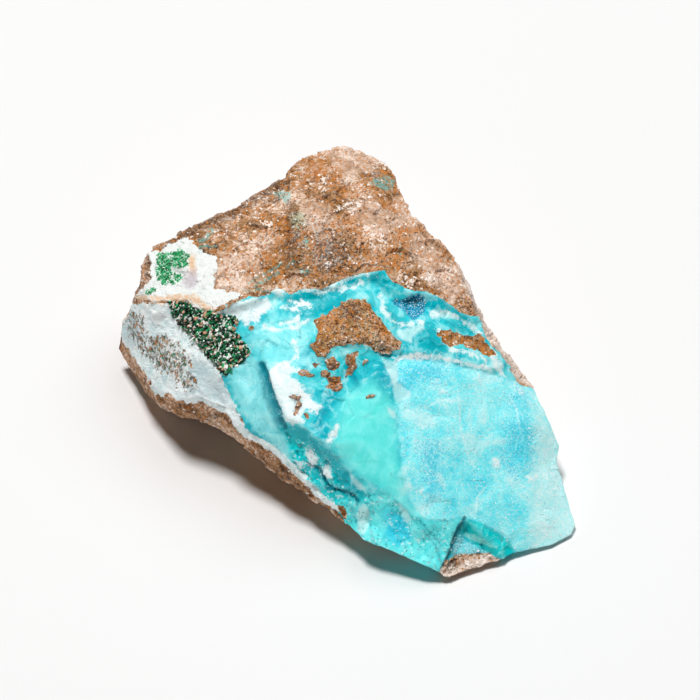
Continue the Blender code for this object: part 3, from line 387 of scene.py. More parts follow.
FRAY, FRAY_WIDTH = 0.55, 0.9  # millimetres that their edges wander, and over what width
THICK = ("seam", "slab", "pale_rim", "facet", "strip")  # zones that reach down the walls as far as the seam does
THIN_CRUST = 0.9  # millimetres that the other zones reach down
# Patches of the rock that isn't seen: how fast each grows, then the shift, width and least height of its waves.
UNSEEN = {
    "rusty": (6.0, 0.0, 9.0, 0.22), "pale_quartz": (6.0, 40.0, 11.0, 0.1), "dark_rock_and_painted_shade": (-6.0, 0.0, 9.0, -0.15),
    "ochre": (3.0, 90.0, 4.0, 0.35), "teal_flecks": (4.0, -70.0, 6.0, 0.42),
}
# Zones that stand proud of the stone or lie deep: how far, how much that varies, and over what width, in millimetres.
STANDING = {
    "brown": (0.28, 0.18, 0.8), "white_crust": (0.12, 0.08, 0.9), "malachite": (0.0, 0.25, 0.5),
    "bright_green": (0.0, 0.25, 0.5), "vug": (-0.35, 0.3, 0.6), "rust_hollow": (-0.2, 0.25, 0.9),
}
CUTS_ALL, CUTS_SEEN = 1, 2  # cuts across each edge of the solid's faces, and then of the faces that are seen
SEAM_SMOOTHING, ROCK_SMOOTHING = 12, 2  # passes
RESTING = 0.02  # a point lower than this many millimetres is on the resting face
SAME_POINT = 0.001  # points that are closer than this many millimetres are one
QUARTZ_ROCK, CHRYSOCOLLA, CHALKY_CRUST, MALACHITE_GROUND = range(4)  # the lump's material slots

CAMERA_LENS, CAMERA_SENSOR = 1000.0, 36.0  # millimetres
FRAME_WIDTH = 700 / 6  # millimetres that the frame takes in: 700 pixels, 6 to the millimetre
# The lamps: shape, watts, colour and the direction that the light comes from.
LAMPS = {
    "softbox": ("DISK", 36.6, "#fffdfc", (-0.12, 0.13, 1.0)),
    "ceiling": ("DISK", 13.5, "#eef7f9", (0.42, 0.38, 1.0)),
    "card": ("RECTANGLE", 3.9, "#ffffff", (-0.8, -1.0, 0.08)),
}
CARD_SIZE = (2000.0, 160.0)  # millimetres wide and high
FILL_COLOUR, FILL_STRENGTH = "#ffd7bd", 0.008
FLOOR_COLOUR = "#ececec"


def linear(code):
    """An sRGB hex colour as linear red, green, blue and alpha."""
    parts = [int(code[place : place + 2], 16) / 255 for place in (1, 3, 5)]
    return tuple(part / 12.92 if part < 0.04045 else ((part + 0.055) / 1.055) ** 2.4 for part in parts) + (1.0,)


def length(name, words, millimetres, most):
    return FloatProperty(name=name, description=words, default=millimetres * MM, min=0.0, max=most * MM,
                         unit="LENGTH", precision=5)


def colour(name, words, code):
    return FloatVectorProperty(name=name, description=words, subtype="COLOR", size=4, min=0.0, max=1.0,
                               default=linear(code))


class SpecimenSizes(bpy.types.PropertyGroup):
    chip_depth: length("Chip depth", "Depth of the chips in the brown rock", 0.42, 1.0)
    scar_depth: length("Scar depth", "Depth of the flake scars on the front facet of the seam", 0.45, 1.0)
    seam_thickness: length("Seam thickness", "How far the chrysocolla shows down the walls", 3.4, 8.0)
    crystal: length("Crystal width", "Width of a malachite crystal", 0.62, 2.0)
    rock_grain: length("Rock grain width", "Width of a loose-looking grain on the brown rock", 0.34, 2.0)
    sugar: length("Sugar width", "Width of a quartz point on the drusy slab", 0.2, 1.0)
    crystals: IntProperty(name="Crystals", description="How many crystals the dark patch holds", default=1500)
    rock_grains: IntProperty(name="Rock grains", description="How many grains the brown rock holds", default=800)
    sugar_points: IntProperty(name="Sugar points", description="How many points the slab holds", default=1500)


class SpecimenColours(bpy.types.PropertyGroup):
    rock: colour("Rock", "Quartz stained by iron", "#b2865c")
    rock_pale: colour("Pale rock", "Clean translucent quartz in the rock", "#efd2bc")
    rust: colour("Rust", "Iron oxide between the grains", "#c4802f")
    seam: colour("Seam", "Chrysocolla", "#2fd0da")
    seam_deep: colour("Deep seam", "Fresh, saturated chrysocolla", "#00bfce")
    seam_pale: colour("Pale seam", "Chrysocolla clouded by quartz", "#a5ecef")
    crust: colour("Crust", "Chalky blue-grey crust", "#e9f8f8")
    malachite: colour("Malachite", "Dark malachite crystals", "#0f5a38")
    bright_green: colour("Bright green", "Velvety bright malachite", "#2aae6c")


class StageSizes(bpy.types.PropertyGroup):
    softbox: length("Softbox", "Width of the softbox overhead", 400.0, 2000.0)
    softbox_height: length("Softbox height", "Height of the softbox over the floor", 2000.0, 5000.0)
    ceiling: length("Ceiling light", "Width of the soft light from the right", 1600.0, 4000.0)
    card_distance: length("Card distance", "How far the white card in front of the stone stands", 1300.0, 5000.0)
    floor: length("Floor", "Width of the floor", 4000.0, 9000.0)


def add(tree, kind, inputs=None, **settings):
    """Adds a node. Settings are its own, and inputs gives each socket, by name or number, a value or a link."""
    made = tree.nodes.new(kind)
    stops = settings.pop("stops", ())
    for number, (place, tint) in enumerate(stops):
        ramp = made.color_ramp.elements
        stop = ramp[number] if number < 2 else ramp.new(place)
        stop.position = place
        stop.color = linear(tint) if isinstance(tint, str) else tint
    for name, value in settings.items():
        setattr(made, name, value)
    for name, value in (inputs or {}).items():
        if isinstance(value, bpy.types.NodeSocket):
            tree.links.new(value, made.inputs[name])
        else:
            made.inputs[name].default_value = value
    return made


def per(millimetres):
    """A texture's scale for features that wide."""
    return 1.0 / (millimetres * MM)


# ---------------------------------------------------------------- the broken side in plan


def flat_of(points):
    """(across, up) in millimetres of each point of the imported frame."""
    return np.stack((points[:, 0], points[:, 1] * SIGHT_SIN + points[:, 2] * SIGHT_COS), axis=1)


def from_line(places, line, closed):
    """Each place's distance to a line."""
    line = np.array(line, float)
    ends = np.roll(line, -1, axis=0) if closed else line[1:]
    starts = line if closed else line[:-1]
    run = ends - starts
    share = np.einsum("psk,sk->ps", places[:, None] - starts, run) / np.maximum((run**2).sum(1), 1e-9)
    nearest = starts + np.clip(share, 0, 1)[..., None] * run
    return np.linalg.norm(places[:, None] - nearest, axis=2).min(1)


def within(places, outline):
    """Whether each place is inside a closed outline."""
    here = np.array(outline, float)
    there = np.roll(here, -1, axis=0)
    spans = (here[:, 1] > places[:, 1:2]) != (there[:, 1] > places[:, 1:2])
    climb = np.where(here[:, 1] == there[:, 1], 1.0, there[:, 1] - here[:, 1])
    crossing = here[:, 0] + (places[:, 1:2] - here[:, 1]) * (there[:, 0] - here[:, 0]) / climb
    return (spans & (places[:, :1] < crossing)).sum(1) % 2 == 1


def near(places, shape):
    return ((places > np.min(shape, axis=0) - FAR) & (places < np.max(shape, axis=0) + FAR)).all(1)


def depth_in(places, outlines):
    """How many millimetres inside any of these outlines each place is, negative outside."""
    best = np.full(len(places), -FAR)
    for outline in outlines:
        close = near(places, outline)
        if close.any():
            some = places[close]
            deep = np.where(within(some, outline), 1.0, -1.0) * from_line(some, outline, True)
            best[close] = np.maximum(best[close], deep)
    return best


def depth_along(places, lines, half_width):
    """The same for lines of some width."""
    best = np.full(len(places), -FAR)
    for line in lines:
        close = near(places, line)
        if close.any():
            best[close] = np.maximum(best[close], half_width - from_line(places[close], line, False))
    return best


def soft_step(depth, width):
    share = np.clip(depth / width, 0, 1)
    return share * share * (3 - 2 * share)


def waves(points, size):
    return np.array([noise.noise(Vector(point) / size) for point in points])


def scars(points, size):
    """Flat, tilted facets side by side, each about this wide, from about -1 to 1."""
    found = []
    for point in points:
        place = Vector(point) / size
        centre = noise.voronoi(place)[1][0]
        tilt = noise.cell_vector(centre * 5.0) - Vector((0.5, 0.5, 0.5))
        found.append(2.2 * tilt.dot(place - centre) + 0.8 * (noise.cell(centre * 3.0) - 0.5))
    return np.array(found)


# ---------------------------------------------------------------- the stone


def co_of(mesh):
    """The mesh's points in millimetres."""
    co = np.empty(len(mesh.vertices) * 3, np.float32)
    mesh.vertices.foreach_get("co", co)
    return co.reshape(-1, 3).astype(float) / MM


def normals_of(mesh):
    normals = np.empty(len(mesh.vertices) * 3, np.float32)
    mesh.vertices.foreach_get("normal", normals)
    return normals.reshape(-1, 3)


def centred(points):
    """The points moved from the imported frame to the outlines' own."""
    resting = points[points[:, 2] < RESTING]
    return points - (resting[:, 0].min() - RESTING_CORNER[0], resting[:, 1].min() - RESTING_CORNER[1], 0.0)


def only(obj):
    """Makes obj the active and the only selected object."""
    bpy.ops.object.select_all(action="DESELECT")
    obj.select_set(True)
    bpy.context.view_layer.objects.active = obj


def seen_faces(mesh):
    """Marks the faces that the viewer sees: a ray from just off the face gets away."""
    off = 0.02 * MM
    tree = BVHTree.FromPolygons([v.co for v in mesh.vertices], [p.vertices for p in mesh.polygons])
    seen = np.zeros(len(mesh.polygons), bool)
    for face in mesh.polygons:
        start = face.center + TO_VIEWER * off + face.normal * off
        seen[face.index] = face.normal.dot(TO_VIEWER) > 0.02 and tree.ray_cast(start, TO_VIEWER)[0] is None
    return seen


def divide(mesh, chosen, cuts):
    """Divides the chosen faces finely and makes triangles of what that leaves beside them."""
    mesh.polygons.foreach_set("select", chosen)
    bpy.ops.object.mode_set(mode="EDIT")
    bpy.ops.mesh.select_mode(type="FACE")
    bpy.ops.mesh.subdivide(number_cuts=cuts)
    bpy.ops.mesh.select_all(action="SELECT")
    bpy.ops.mesh.quads_convert_to_tris()
    bpy.ops.mesh.select_all(action="DESELECT")
    bpy.ops.object.mode_set(mode="OBJECT")


def smooth(obj, group, passes):
    modifier = obj.modifiers.new("wear_and_painted_shade", "SMOOTH")
    modifier.factor, modifier.iterations, modifier.vertex_group = 0.5, passes, group
    bpy.ops.object.modifier_apply(modifier=modifier.name)


def group_of(obj, name, weights):
    group = obj.vertex_groups.new(name=name)
    steps = np.round(np.clip(weights, 0, 1) * 8).astype(int)
    for step in range(1, 9):
        group.add(np.flatnonzero(steps == step).tolist(), step / 8, "REPLACE")
    return group.name


def zones_at(points):
    """Every zone's depth at these points of the outlines' own frame."""
    places = flat_of(points)
    found = {name: depth_in(places, outlines) for name, outlines in ZONES.items()}
    for name, (lines, half_width) in LINES.items():
        found[name] = np.maximum(found.get(name, -FAR), depth_along(places, lines, half_width))
    fray = FRAY * waves(points, FRAY_WIDTH)
    for name in FRAYED:
        found[name] += fray
    return found


def carried_down(points, seen, found):
    """Gives what the viewer does not see the zone of the nearest spot that is seen, down to the zone's thickness."""
    sizes = bpy.context.scene.specimen_sizes
    tree = KDTree(int(seen.sum()))
    for number in np.flatnonzero(seen):
        tree.insert(points[number], int(number))
    tree.balance()
    hidden = np.flatnonzero(~seen)
    nearest = [tree.find(points[number]) for number in hidden]
    source = np.array([hit[1] for hit in nearest])
    away = np.array([hit[2] for hit in nearest]) + 1.2 * waves(points[hidden], 2.5)
    for name, depth in found.items():
        reach = sizes.seam_thickness / MM if name in THICK else THIN_CRUST
        depth[hidden] = np.minimum(np.minimum(depth[source], reach), reach - away)
    for name, (growth, shift, width, least) in UNSEEN.items():
        found[name][hidden] = growth * (waves(points[hidden] + shift, width) - least)


def relief(points, found):
    """How far each point of the broken side stands proud of the solid. Heights and widths are in millimetres."""
    sizes = bpy.context.scene.specimen_sizes
    on = {name: soft_step(depth + 0.15, 0.5) for name, depth in found.items()}
    stone = 1 - np.clip(on["seam"] + on["crust"] + on["white_crust"] + on["malachite"], 0, 1)
    stone = np.maximum(stone, on["brown"])
    chip, scar = sizes.chip_depth / MM, sizes.scar_depth / MM
    coarse, fine = scars(points, 2.6), scars(points, 0.95)
    rise = stone * (0.7 * chip * coarse + 0.25 * chip * fine + 0.05 * waves(points, 0.5))
    glassy = np.maximum(on["shelf"], on["strip"])
    seam = on["seam"] * (1 - on["brown"])
    rough_seam = seam * (1 - glassy) * (1 - on["slab"])
    ledges = scars(points, 3.4)
    calm = 1 - 0.6 * on["front_bright"]
    rise += rough_seam * (0.13 * ledges + 0.03 * fine + 0.02 * waves(points, 0.7)) * (1 + on["facet"]) * calm
    rise += on["facet"] * (1 - on["brown"]) * scar * 0.5 * scars(points, 1.9) * calm
    rise += seam * glassy * (0.05 * ledges + 0.03 * waves(points, 2.0))
    rise += seam * on["slab"] * (0.05 * ledges + 0.05 * waves(points, 1.6) + 0.02 * waves(points, 0.35))
    rise += seam * on["white"] * (0.05 + 0.05 * waves(points, 0.6))
    chalk = np.clip(on["crust"] + on["white_crust"], 0, 1) * (1 - on["malachite"])
    rise += chalk * (0.10 * fine + 0.08 * waves(points, 1.5) + 0.03 * waves(points, 0.4))
    for name, (height, varied, width) in STANDING.items():
        rise += on[name] * (height + varied * waves(points, width))
    rise -= 0.35 * soft_step(found["crease"] + 0.2, 0.6)
    rise += 0.2 * soft_step(found["hem"], 0.5)
    return rise


def proud_of(mesh, points):
    """How far each point stands proud of its neighbours: above 0 on edges, below 0 in creases, to about 0.2."""
    ends = np.empty(len(mesh.edges) * 2, np.int32)
    mesh.edges.foreach_get("vertices", ends)
    first, last = ends[::2], ends[1::2]
    run = points[last] - points[first]
    reach, count, total = np.zeros(len(points)), np.zeros(len(points)), np.zeros(points.shape)
    for here, sign in ((first, 1), (last, -1)):
        np.add.at(total, here, sign * run)
        np.add.at(reach, here, np.linalg.norm(run, axis=1))
        np.add.at(count, here, 1)
    proud = -(total * normals_of(mesh)).sum(1) / reach
    for _ in range(2):
        around = np.zeros(len(points))
        np.add.at(around, first, proud[last])
        np.add.at(around, last, proud[first])
        proud = (proud + around / count) / 2
    return proud


def material_numbers(faces, found):
    """The material slot of each face, by the zones at its corners."""
    at = {name: found[name][faces].mean(1) for name in
          ("seam", "crust", "white_crust", "malachite", "brown", "rust_hollow", "hem")}
    number = np.full(len(faces), QUARTZ_ROCK)
    number[at["seam"] > 0] = CHRYSOCOLLA
    number[(at["crust"] > 0) | (at["white_crust"] > 0) | (at["hem"] > 0)] = CHALKY_CRUST
    number[at["malachite"] > 0] = MALACHITE_GROUND
    number[(at["brown"] > 0) | (at["rust_hollow"] > 0)] = QUARTZ_ROCK
    return number


class SPECIMEN_OT_stone(bpy.types.Operator):
    """Makes the lump: the solid's shape with its broken side divided, chipped and painted by zones"""

    bl_idname = "specimen.stone"
    bl_label = "Broken lump"

    def execute(self, context):
        stone = bpy.data.objects.new("broken_lump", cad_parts[SPECIMEN].data.copy())
        context.collection.objects.link(stone)
        only(stone)
        mesh = stone.data
        mesh.materials.clear()
        bpy.ops.object.mode_set(mode="EDIT")
        bpy.ops.mesh.select_all(action="SELECT")
        bpy.ops.mesh.remove_doubles(threshold=SAME_POINT * MM)
        bpy.ops.object.mode_set(mode="OBJECT")
        divide(mesh, np.ones(len(mesh.polygons), bool), CUTS_ALL)
        divide(mesh, seen_faces(mesh), CUTS_SEEN)

        faces = np.array([face.vertices[:] for face in mesh.polygons])
        points = co_of(mesh)
        seen = np.zeros(len(points), bool)
        seen[faces[seen_faces(mesh)].ravel()] = True
        found = zones_at(centred(points))
        carried_down(points, seen, found)
        on_seam = soft_step(found["seam"], 0.6)
        smooth(stone, group_of(stone, "worn_seam", on_seam), SEAM_SMOOTHING)
        smooth(stone, group_of(stone, "worn_rock", (1 - on_seam) * seen), ROCK_SMOOTHING)

        points = co_of(mesh)
        found = zones_at(centred(points))
        carried_down(points, seen, found)
        low, high = (np.array(corner) / MM for corner in CAD_BOX)
        lifted = points + normals_of(mesh) * relief(points, found)[:, None]
        resting = points[:, 2] < RESTING
        lifted[resting] = points[resting]
        lifted = np.clip(lifted, low, high)
        mesh.vertices.foreach_set("co", (lifted * MM).astype(np.float32).ravel())
        mesh.update()
        found["proud"] = proud_of(mesh, lifted)
        found["brown_core"] = found["brown"] - BROWN_RIM
        for name, values in found.items():
            mesh.attributes.new(name, "FLOAT", "POINT").data.foreach_set("value", values.astype(np.float32))
        numbers = material_numbers(faces, found)
        for finish in (quartz_rock, chrysocolla, chalky_crust, malachite_ground):
            mesh.materials.append(finish())
        mesh.polygons.foreach_set("material_index", numbers)
        glassy = (found["seam"][faces].mean(1) > 0) & (found["slab"][faces].mean(1) < 0)
        mesh.polygons.foreach_set("use_smooth", glassy & (numbers == CHRYSOCOLLA))
        mesh.update()
        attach(stone, "root")
        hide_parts(SPECIMEN)
        return {"FINISHED"}


# ---------------------------------------------------------------- crystals and grains


def seed_crystal(sides, taper):
    """One crystal a metre high and wide, a prism with a pointed end: its points and its faces."""
    bpy.ops.object.select_all(action="DESELECT")
    bpy.ops.mesh.primitive_cylinder_add(vertices=sides, radius=0.5, depth=1.0, end_fill_type="TRIFAN")
    crystal = bpy.context.object
    bpy.ops.object.mode_set(mode="EDIT")
    bpy.ops.mesh.select_all(action="DESELECT")
    bpy.ops.object.mode_set(mode="OBJECT")
    for point in crystal.data.vertices:
        around = point.co.xy.length > 0.1
        point.select = point.co.z > 0 and around
        if not around:
            point.co.z *= 1.5
    bpy.ops.object.mode_set(mode="EDIT")
    bpy.ops.mesh.select_mode(type="VERT")
    bpy.ops.transform.resize(value=(taper, taper, 1.0), center_override=(0, 0, 0.5))
    bpy.ops.mesh.select_all(action="SELECT")
    bpy.ops.mesh.quads_convert_to_tris()
    bpy.ops.object.mode_set(mode="OBJECT")
    points = np.array([v.co[:] for v in crystal.data.vertices])
    faces = np.array([p.vertices[:] for p in crystal.data.polygons])
    bpy.data.objects.remove(crystal)
    return points, faces


def depth_on(mesh, *names):
    """The depth of each face in the deepest of these zones."""
    corners = np.empty(len(mesh.loops), int)
    mesh.loops.foreach_get("vertex_index", corners)
    best = np.full(len(mesh.polygons), -FAR)
    for name in names:
        values = np.empty(len(mesh.vertices), np.float32)
        mesh.attributes[name].data.foreach_get("value", values)
        best = np.maximum(best, values[corners].reshape(-1, 3).mean(1))
    return best


def spots_on(mesh, wanted, chance, seed, facing=0.05):
    """Random spots on the faces that face the viewer, each face as likely as its area and its chance say."""
    areas, centres, normals = (np.empty(len(mesh.polygons) * width) for width in (1, 3, 3))
    mesh.polygons.foreach_get("area", areas)
    mesh.polygons.foreach_get("center", centres)
    mesh.polygons.foreach_get("normal", normals)
    normals = normals.reshape(-1, 3)
    odds = areas * chance * (normals @ np.array(TO_VIEWER) > facing)
    wanted = min(wanted, int((odds > 0).sum()))
    picked = np.random.default_rng(seed).choice(len(areas), wanted, replace=False, p=odds / odds.sum())
    return centres.reshape(-1, 3)[picked] / MM, normals[picked]


def strewn(finish, crystal, spots, widths, heights, lean, sunk, seed):
    """A piece of many copies of a crystal, each standing on its spot with its own turn, lean and tint.

    It is named for its finish. Widths and heights are the usual size in millimetres, how much it varies and a seed.
    """
    points, faces = crystal
    widths, heights = (usual * np.exp(np.random.default_rng(number).normal(0, spread, len(spots[0])))
                       for usual, spread, number in (widths, heights))
    generator = random.Random(seed)
    all_points, all_faces, tints = [], [], []
    for (centre, normal), width, height in zip(zip(*spots), widths, heights):
        tip = Vector(normal) + Vector([generator.gauss(0, lean) for _ in range(3)])
        turn = tip.to_track_quat("Z", "Y").to_matrix() @ Matrix.Rotation(generator.uniform(0, math.tau), 3, "Z")
        shape = points * (width * generator.uniform(0.7, 1.3), width * generator.uniform(0.7, 1.3), height)
        shape = shape @ np.array(turn).T + centre + np.array(tip.normalized()) * (height * (0.5 - sunk))
        all_faces.append(faces + len(points) * len(all_points))
        all_points.append(shape)
        tints += [generator.random()] * len(points)
    low, high = (np.array(corner) / MM for corner in CAD_BOX)
    placed = np.clip(np.concatenate(all_points), low, high) * MM
    mesh = bpy.data.meshes.new(finish.__name__)
    mesh.from_pydata(placed.tolist(), [], np.concatenate(all_faces).tolist())
    mesh.attributes.new("tint", "FLOAT", "POINT").data.foreach_set("value", tints)
    mesh.update()
    mesh.materials.append(finish())
    piece = bpy.data.objects.new(finish.__name__, mesh)
    bpy.context.collection.objects.link(piece)
    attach(piece, "root")


class SPECIMEN_OT_malachite(bpy.types.Operator):
    """Grows the dark malachite crystals and the bright green tufts on the lump"""

    bl_idname = "specimen.malachite"
    bl_label = "Malachite crystals"

    def execute(self, context):
        sizes = context.scene.specimen_sizes
        mesh = bpy.data.objects["broken_lump"].data
        prism, width = seed_crystal(6, 0.7), sizes.crystal / MM
        dark = (depth_on(mesh, "malachite") > 0.05).astype(float)
        strewn(malachite_crystals, prism, spots_on(mesh, sizes.crystals, dark, 11),
               (0.62 * width, 0.3, 1), (0.95 * width, 0.35, 2), lean=0.7, sunk=0.45, seed=3)
        green = (depth_on(mesh, "bright_green") > -0.1).astype(float)
        strewn(green_tufts, prism, spots_on(mesh, sizes.crystals // 3, green, 12),
               (0.38 * width, 0.3, 4), (0.8 * width, 0.3, 5), lean=0.6, sunk=0.4, seed=6)
        return {"FINISHED"}


class SPECIMEN_OT_grains(bpy.types.Operator):
    """Strews the quartz and iron-stained grains over the brown rock"""

    bl_idname = "specimen.grains"
    bl_label = "Rock grains"

    def execute(self, context):
        sizes = context.scene.specimen_sizes
        mesh = bpy.data.objects["broken_lump"].data
        chunk, width = seed_crystal(4, 0.6), sizes.rock_grain / MM
        rock = (depth_on(mesh, "seam", "crust", "white_crust", "malachite", "hem") < 0).astype(float)
        rock *= 0.15 + soft_step(depth_on(mesh, "rusty", "dark_rock_and_painted_shade") + 0.5, 1.5)
        rock = np.maximum(rock, 0.8 * (depth_on(mesh, "brown", "rust_hollow") > 0))
        strewn(rock_grains, chunk, spots_on(mesh, sizes.rock_grains, rock, 21, facing=0.4),
               (0.8 * width, 0.35, 22), (0.7 * width, 0.3, 23), lean=0.8, sunk=0.72, seed=24)
        return {"FINISHED"}


class SPECIMEN_OT_sugar(bpy.types.Operator):
    """Sets the tiny quartz points on the slab and in the blue hollow"""

    bl_idname = "specimen.sugar"
    bl_label = "Quartz points"

    def execute(self, context):
        sizes = context.scene.specimen_sizes
        mesh = bpy.data.objects["broken_lump"].data
        prism, width = seed_crystal(6, 0.5), sizes.sugar / MM
        hollow = depth_on(mesh, "vug", "notch_druse")
        chance = np.where(depth_on(mesh, "slab") > 0.2, 1.0, 0.0) + np.where(hollow > 0, 9.0, 0.0)
        strewn(quartz_points, prism, spots_on(mesh, sizes.sugar_points, chance, 31),
               (0.8 * width, 0.3, 32), (width, 0.3, 33), lean=0.5, sunk=0.5, seed=34)
        return {"FINISHED"}


# ---------------------------------------------------------------- materials


def finish_of(name, steady):
    """A material of that name: its nodes, its surface shader and a place on the piece to hang patterns on.

    Steady is what is the same all over the surface, by the shader's own sockets.
    """
    material = bpy.data.materials.new(name)
    material.use_nodes = True
    tree = material.node_tree
    surface = tree.nodes["Principled BSDF"]
    for socket, value in steady.items():
        surface.inputs[socket].default_value = value
    place = add(tree, "ShaderNodeTexCoord").outputs["Object"]
    return material, tree, surface, place


def zone_cover(tree, name, wander, wobble, soft):
    """How much of a zone's finish shows, 0 to 1: its edge wanders by wobble and fades over soft millimetres."""
    depth = add(tree, "ShaderNodeAttribute", attribute_name=name)
    shifted = add(tree, "ShaderNodeMath", {0: wander, 1: wobble, 2: depth.outputs["Fac"]}, operation="MULTIPLY_ADD")
    return add(tree, "ShaderNodeMapRange", {"Value": shifted.outputs[0], "From Min": wobble / 2 - soft,
                                            "From Max": wobble / 2 + soft},
               interpolation_type="SMOOTHSTEP").outputs[0]


def painted(tree, below, tints, wander):
    """Lays the zones' tints over a colour in turn. A tint is zone, colour, wobble, soft, strength."""
    for name, tint, wobble, soft, strength in tints:
        cover = zone_cover(tree, name, wander, wobble, soft)
        share = add(tree, "ShaderNodeMath", {0: cover, 1: strength}, operation="MULTIPLY").outputs[0]
        tint = linear(tint) if isinstance(tint, str) else tint
        below = add(tree, "ShaderNodeMix", {0: share, 6: below, 7: tint}, data_type="RGBA").outputs[2]
    return below


def speckled(tree, below, lot, share, tint, strength):
    """Gives cells a tint where their lot is below the share, which may change from place to place."""
    cover = add(tree, "ShaderNodeMath", {0: lot, 1: share}, operation="LESS_THAN")
    weak = add(tree, "ShaderNodeMath", {0: cover.outputs[0], 1: strength}, operation="MULTIPLY")
    return add(tree, "ShaderNodeMix", {0: weak.outputs[0], 6: below, 7: linear(tint)}, data_type="RGBA").outputs[2]


def wear_and_painted_shade(tree, below, crease, edge):
    """Darkens the creases with painted shade and lightens the edges with a painted highlight that also stands for wear,
    each with a colour and a strength.
    """
    proud = add(tree, "ShaderNodeAttribute", attribute_name="proud")
    for (tint, strength), full in ((crease, -0.14), (edge, 0.14)):
        share = add(tree, "ShaderNodeMapRange", {"Value": proud.outputs["Fac"], "From Min": full / 7,
                                                 "From Max": full, "To Max": strength}).outputs[0]
        below = add(tree, "ShaderNodeMix", {0: share, 6: below, 7: linear(tint)}, data_type="RGBA").outputs[2]
    return below


def strewn_specks(tree, below, cells, where, kinds, strength):
    """Gives some cells a tint. Kinds are (the share of the cells that it takes, colour), one to each lot of a cell."""
    for number, (share, tint) in enumerate(kinds):
        some = add(tree, "ShaderNodeMath", {0: where, 1: share}, operation="MULTIPLY").outputs[0]
        below = speckled(tree, below, cells.outputs[number], some, tint, strength)
    return below


def lines_at(tree, value, level, width, on, off):
    """Thin wandering lines: on where a value is at the level, and off where it is as far from it as the width."""
    away = add(tree, "ShaderNodeMath", {0: value, 1: level}, operation="SUBTRACT").outputs[0]
    away = add(tree, "ShaderNodeMath", {0: away}, operation="ABSOLUTE").outputs[0]
    return add(tree, "ShaderNodeMapRange", {"Value": away, "From Max": width, "To Min": on, "To Max": off}).outputs[0]


def carved(tree, surface, layers):
    """Adds up bumps of (value, height in millimetres) and lets the surface's shading follow them."""
    total = 0.0
    for value, height in layers:
        total = add(tree, "ShaderNodeMath", {0: value, 1: height, 2: total}, operation="MULTIPLY_ADD").outputs[0]
    bump = add(tree, "ShaderNodeBump", {"Height": total, "Distance": MM, "Strength": 1.0})
    tree.links.new(bump.outputs[0], surface.inputs["Normal"])


# Quartz stained by iron and broken by hand: coarse grains from clear and pinkish to rust and nearly black, matt
# but for the odd grain that catches the light.
ROCK_TINTS = (
    ("pale_quartz", "#e8cab6", 2.2, 1.0, 0.72),
    ("rusty", "#a87438", 2.8, 1.0, 0.45),
    ("olive", "#7c6038", 4.0, 1.6, 0.65),
    ("brown", "#b67c30", 0.8, 0.4, 0.75),
    ("brown_core", "#a9844e", 1.6, 0.6, 0.8),
    ("fragments", "#6a5446", 1.0, 0.5, 0.75),
    # darker rock, and painted shade in the groove down the middle of the brown top
    ("dark_rock_and_painted_shade", "#4c3824", 1.8, 0.9, 0.75),
    ("ochre", "#a8702e", 2.0, 0.8, 0.5),
    ("pale_stain", "#d8cda9", 1.2, 0.4, 0.8),
    ("rust_hollow", "#a06f2c", 1.2, 0.5, 0.8),
    # pale quartz, painted paler still at the thin right edge for the light that shines through it
    ("right_sliver", "#fcf0e8", 2.0, 0.8, 0.85),
    ("stain", "#9dbb9a", 1.4, 0.6, 0.75),
    ("teal_flecks", "#56b9b4", 0.9, 0.25, 0.9),
)
# Specks of the rock: how likely a cell is one, and how much more likely it is in some zones. Rust follows the veins.
ROCK_SPECKS = {
    "rust": (None, (("ochre", 0.3), ("brown", 0.2), ("rusty", 0.3), ("olive", 0.15), ("rust_hollow", 0.35),
                    ("pale_quartz", -0.06), ("right_sliver", -0.3))),
    "white": (0.03, (("white_flecks", 0.7),)),
    "dark": (0.07, (("dark_rock_and_painted_shade", 0.25), ("brown", 0.2), ("olive", 0.14), ("pale_quartz", -0.05),
                    ("right_sliver", -0.06))),
}


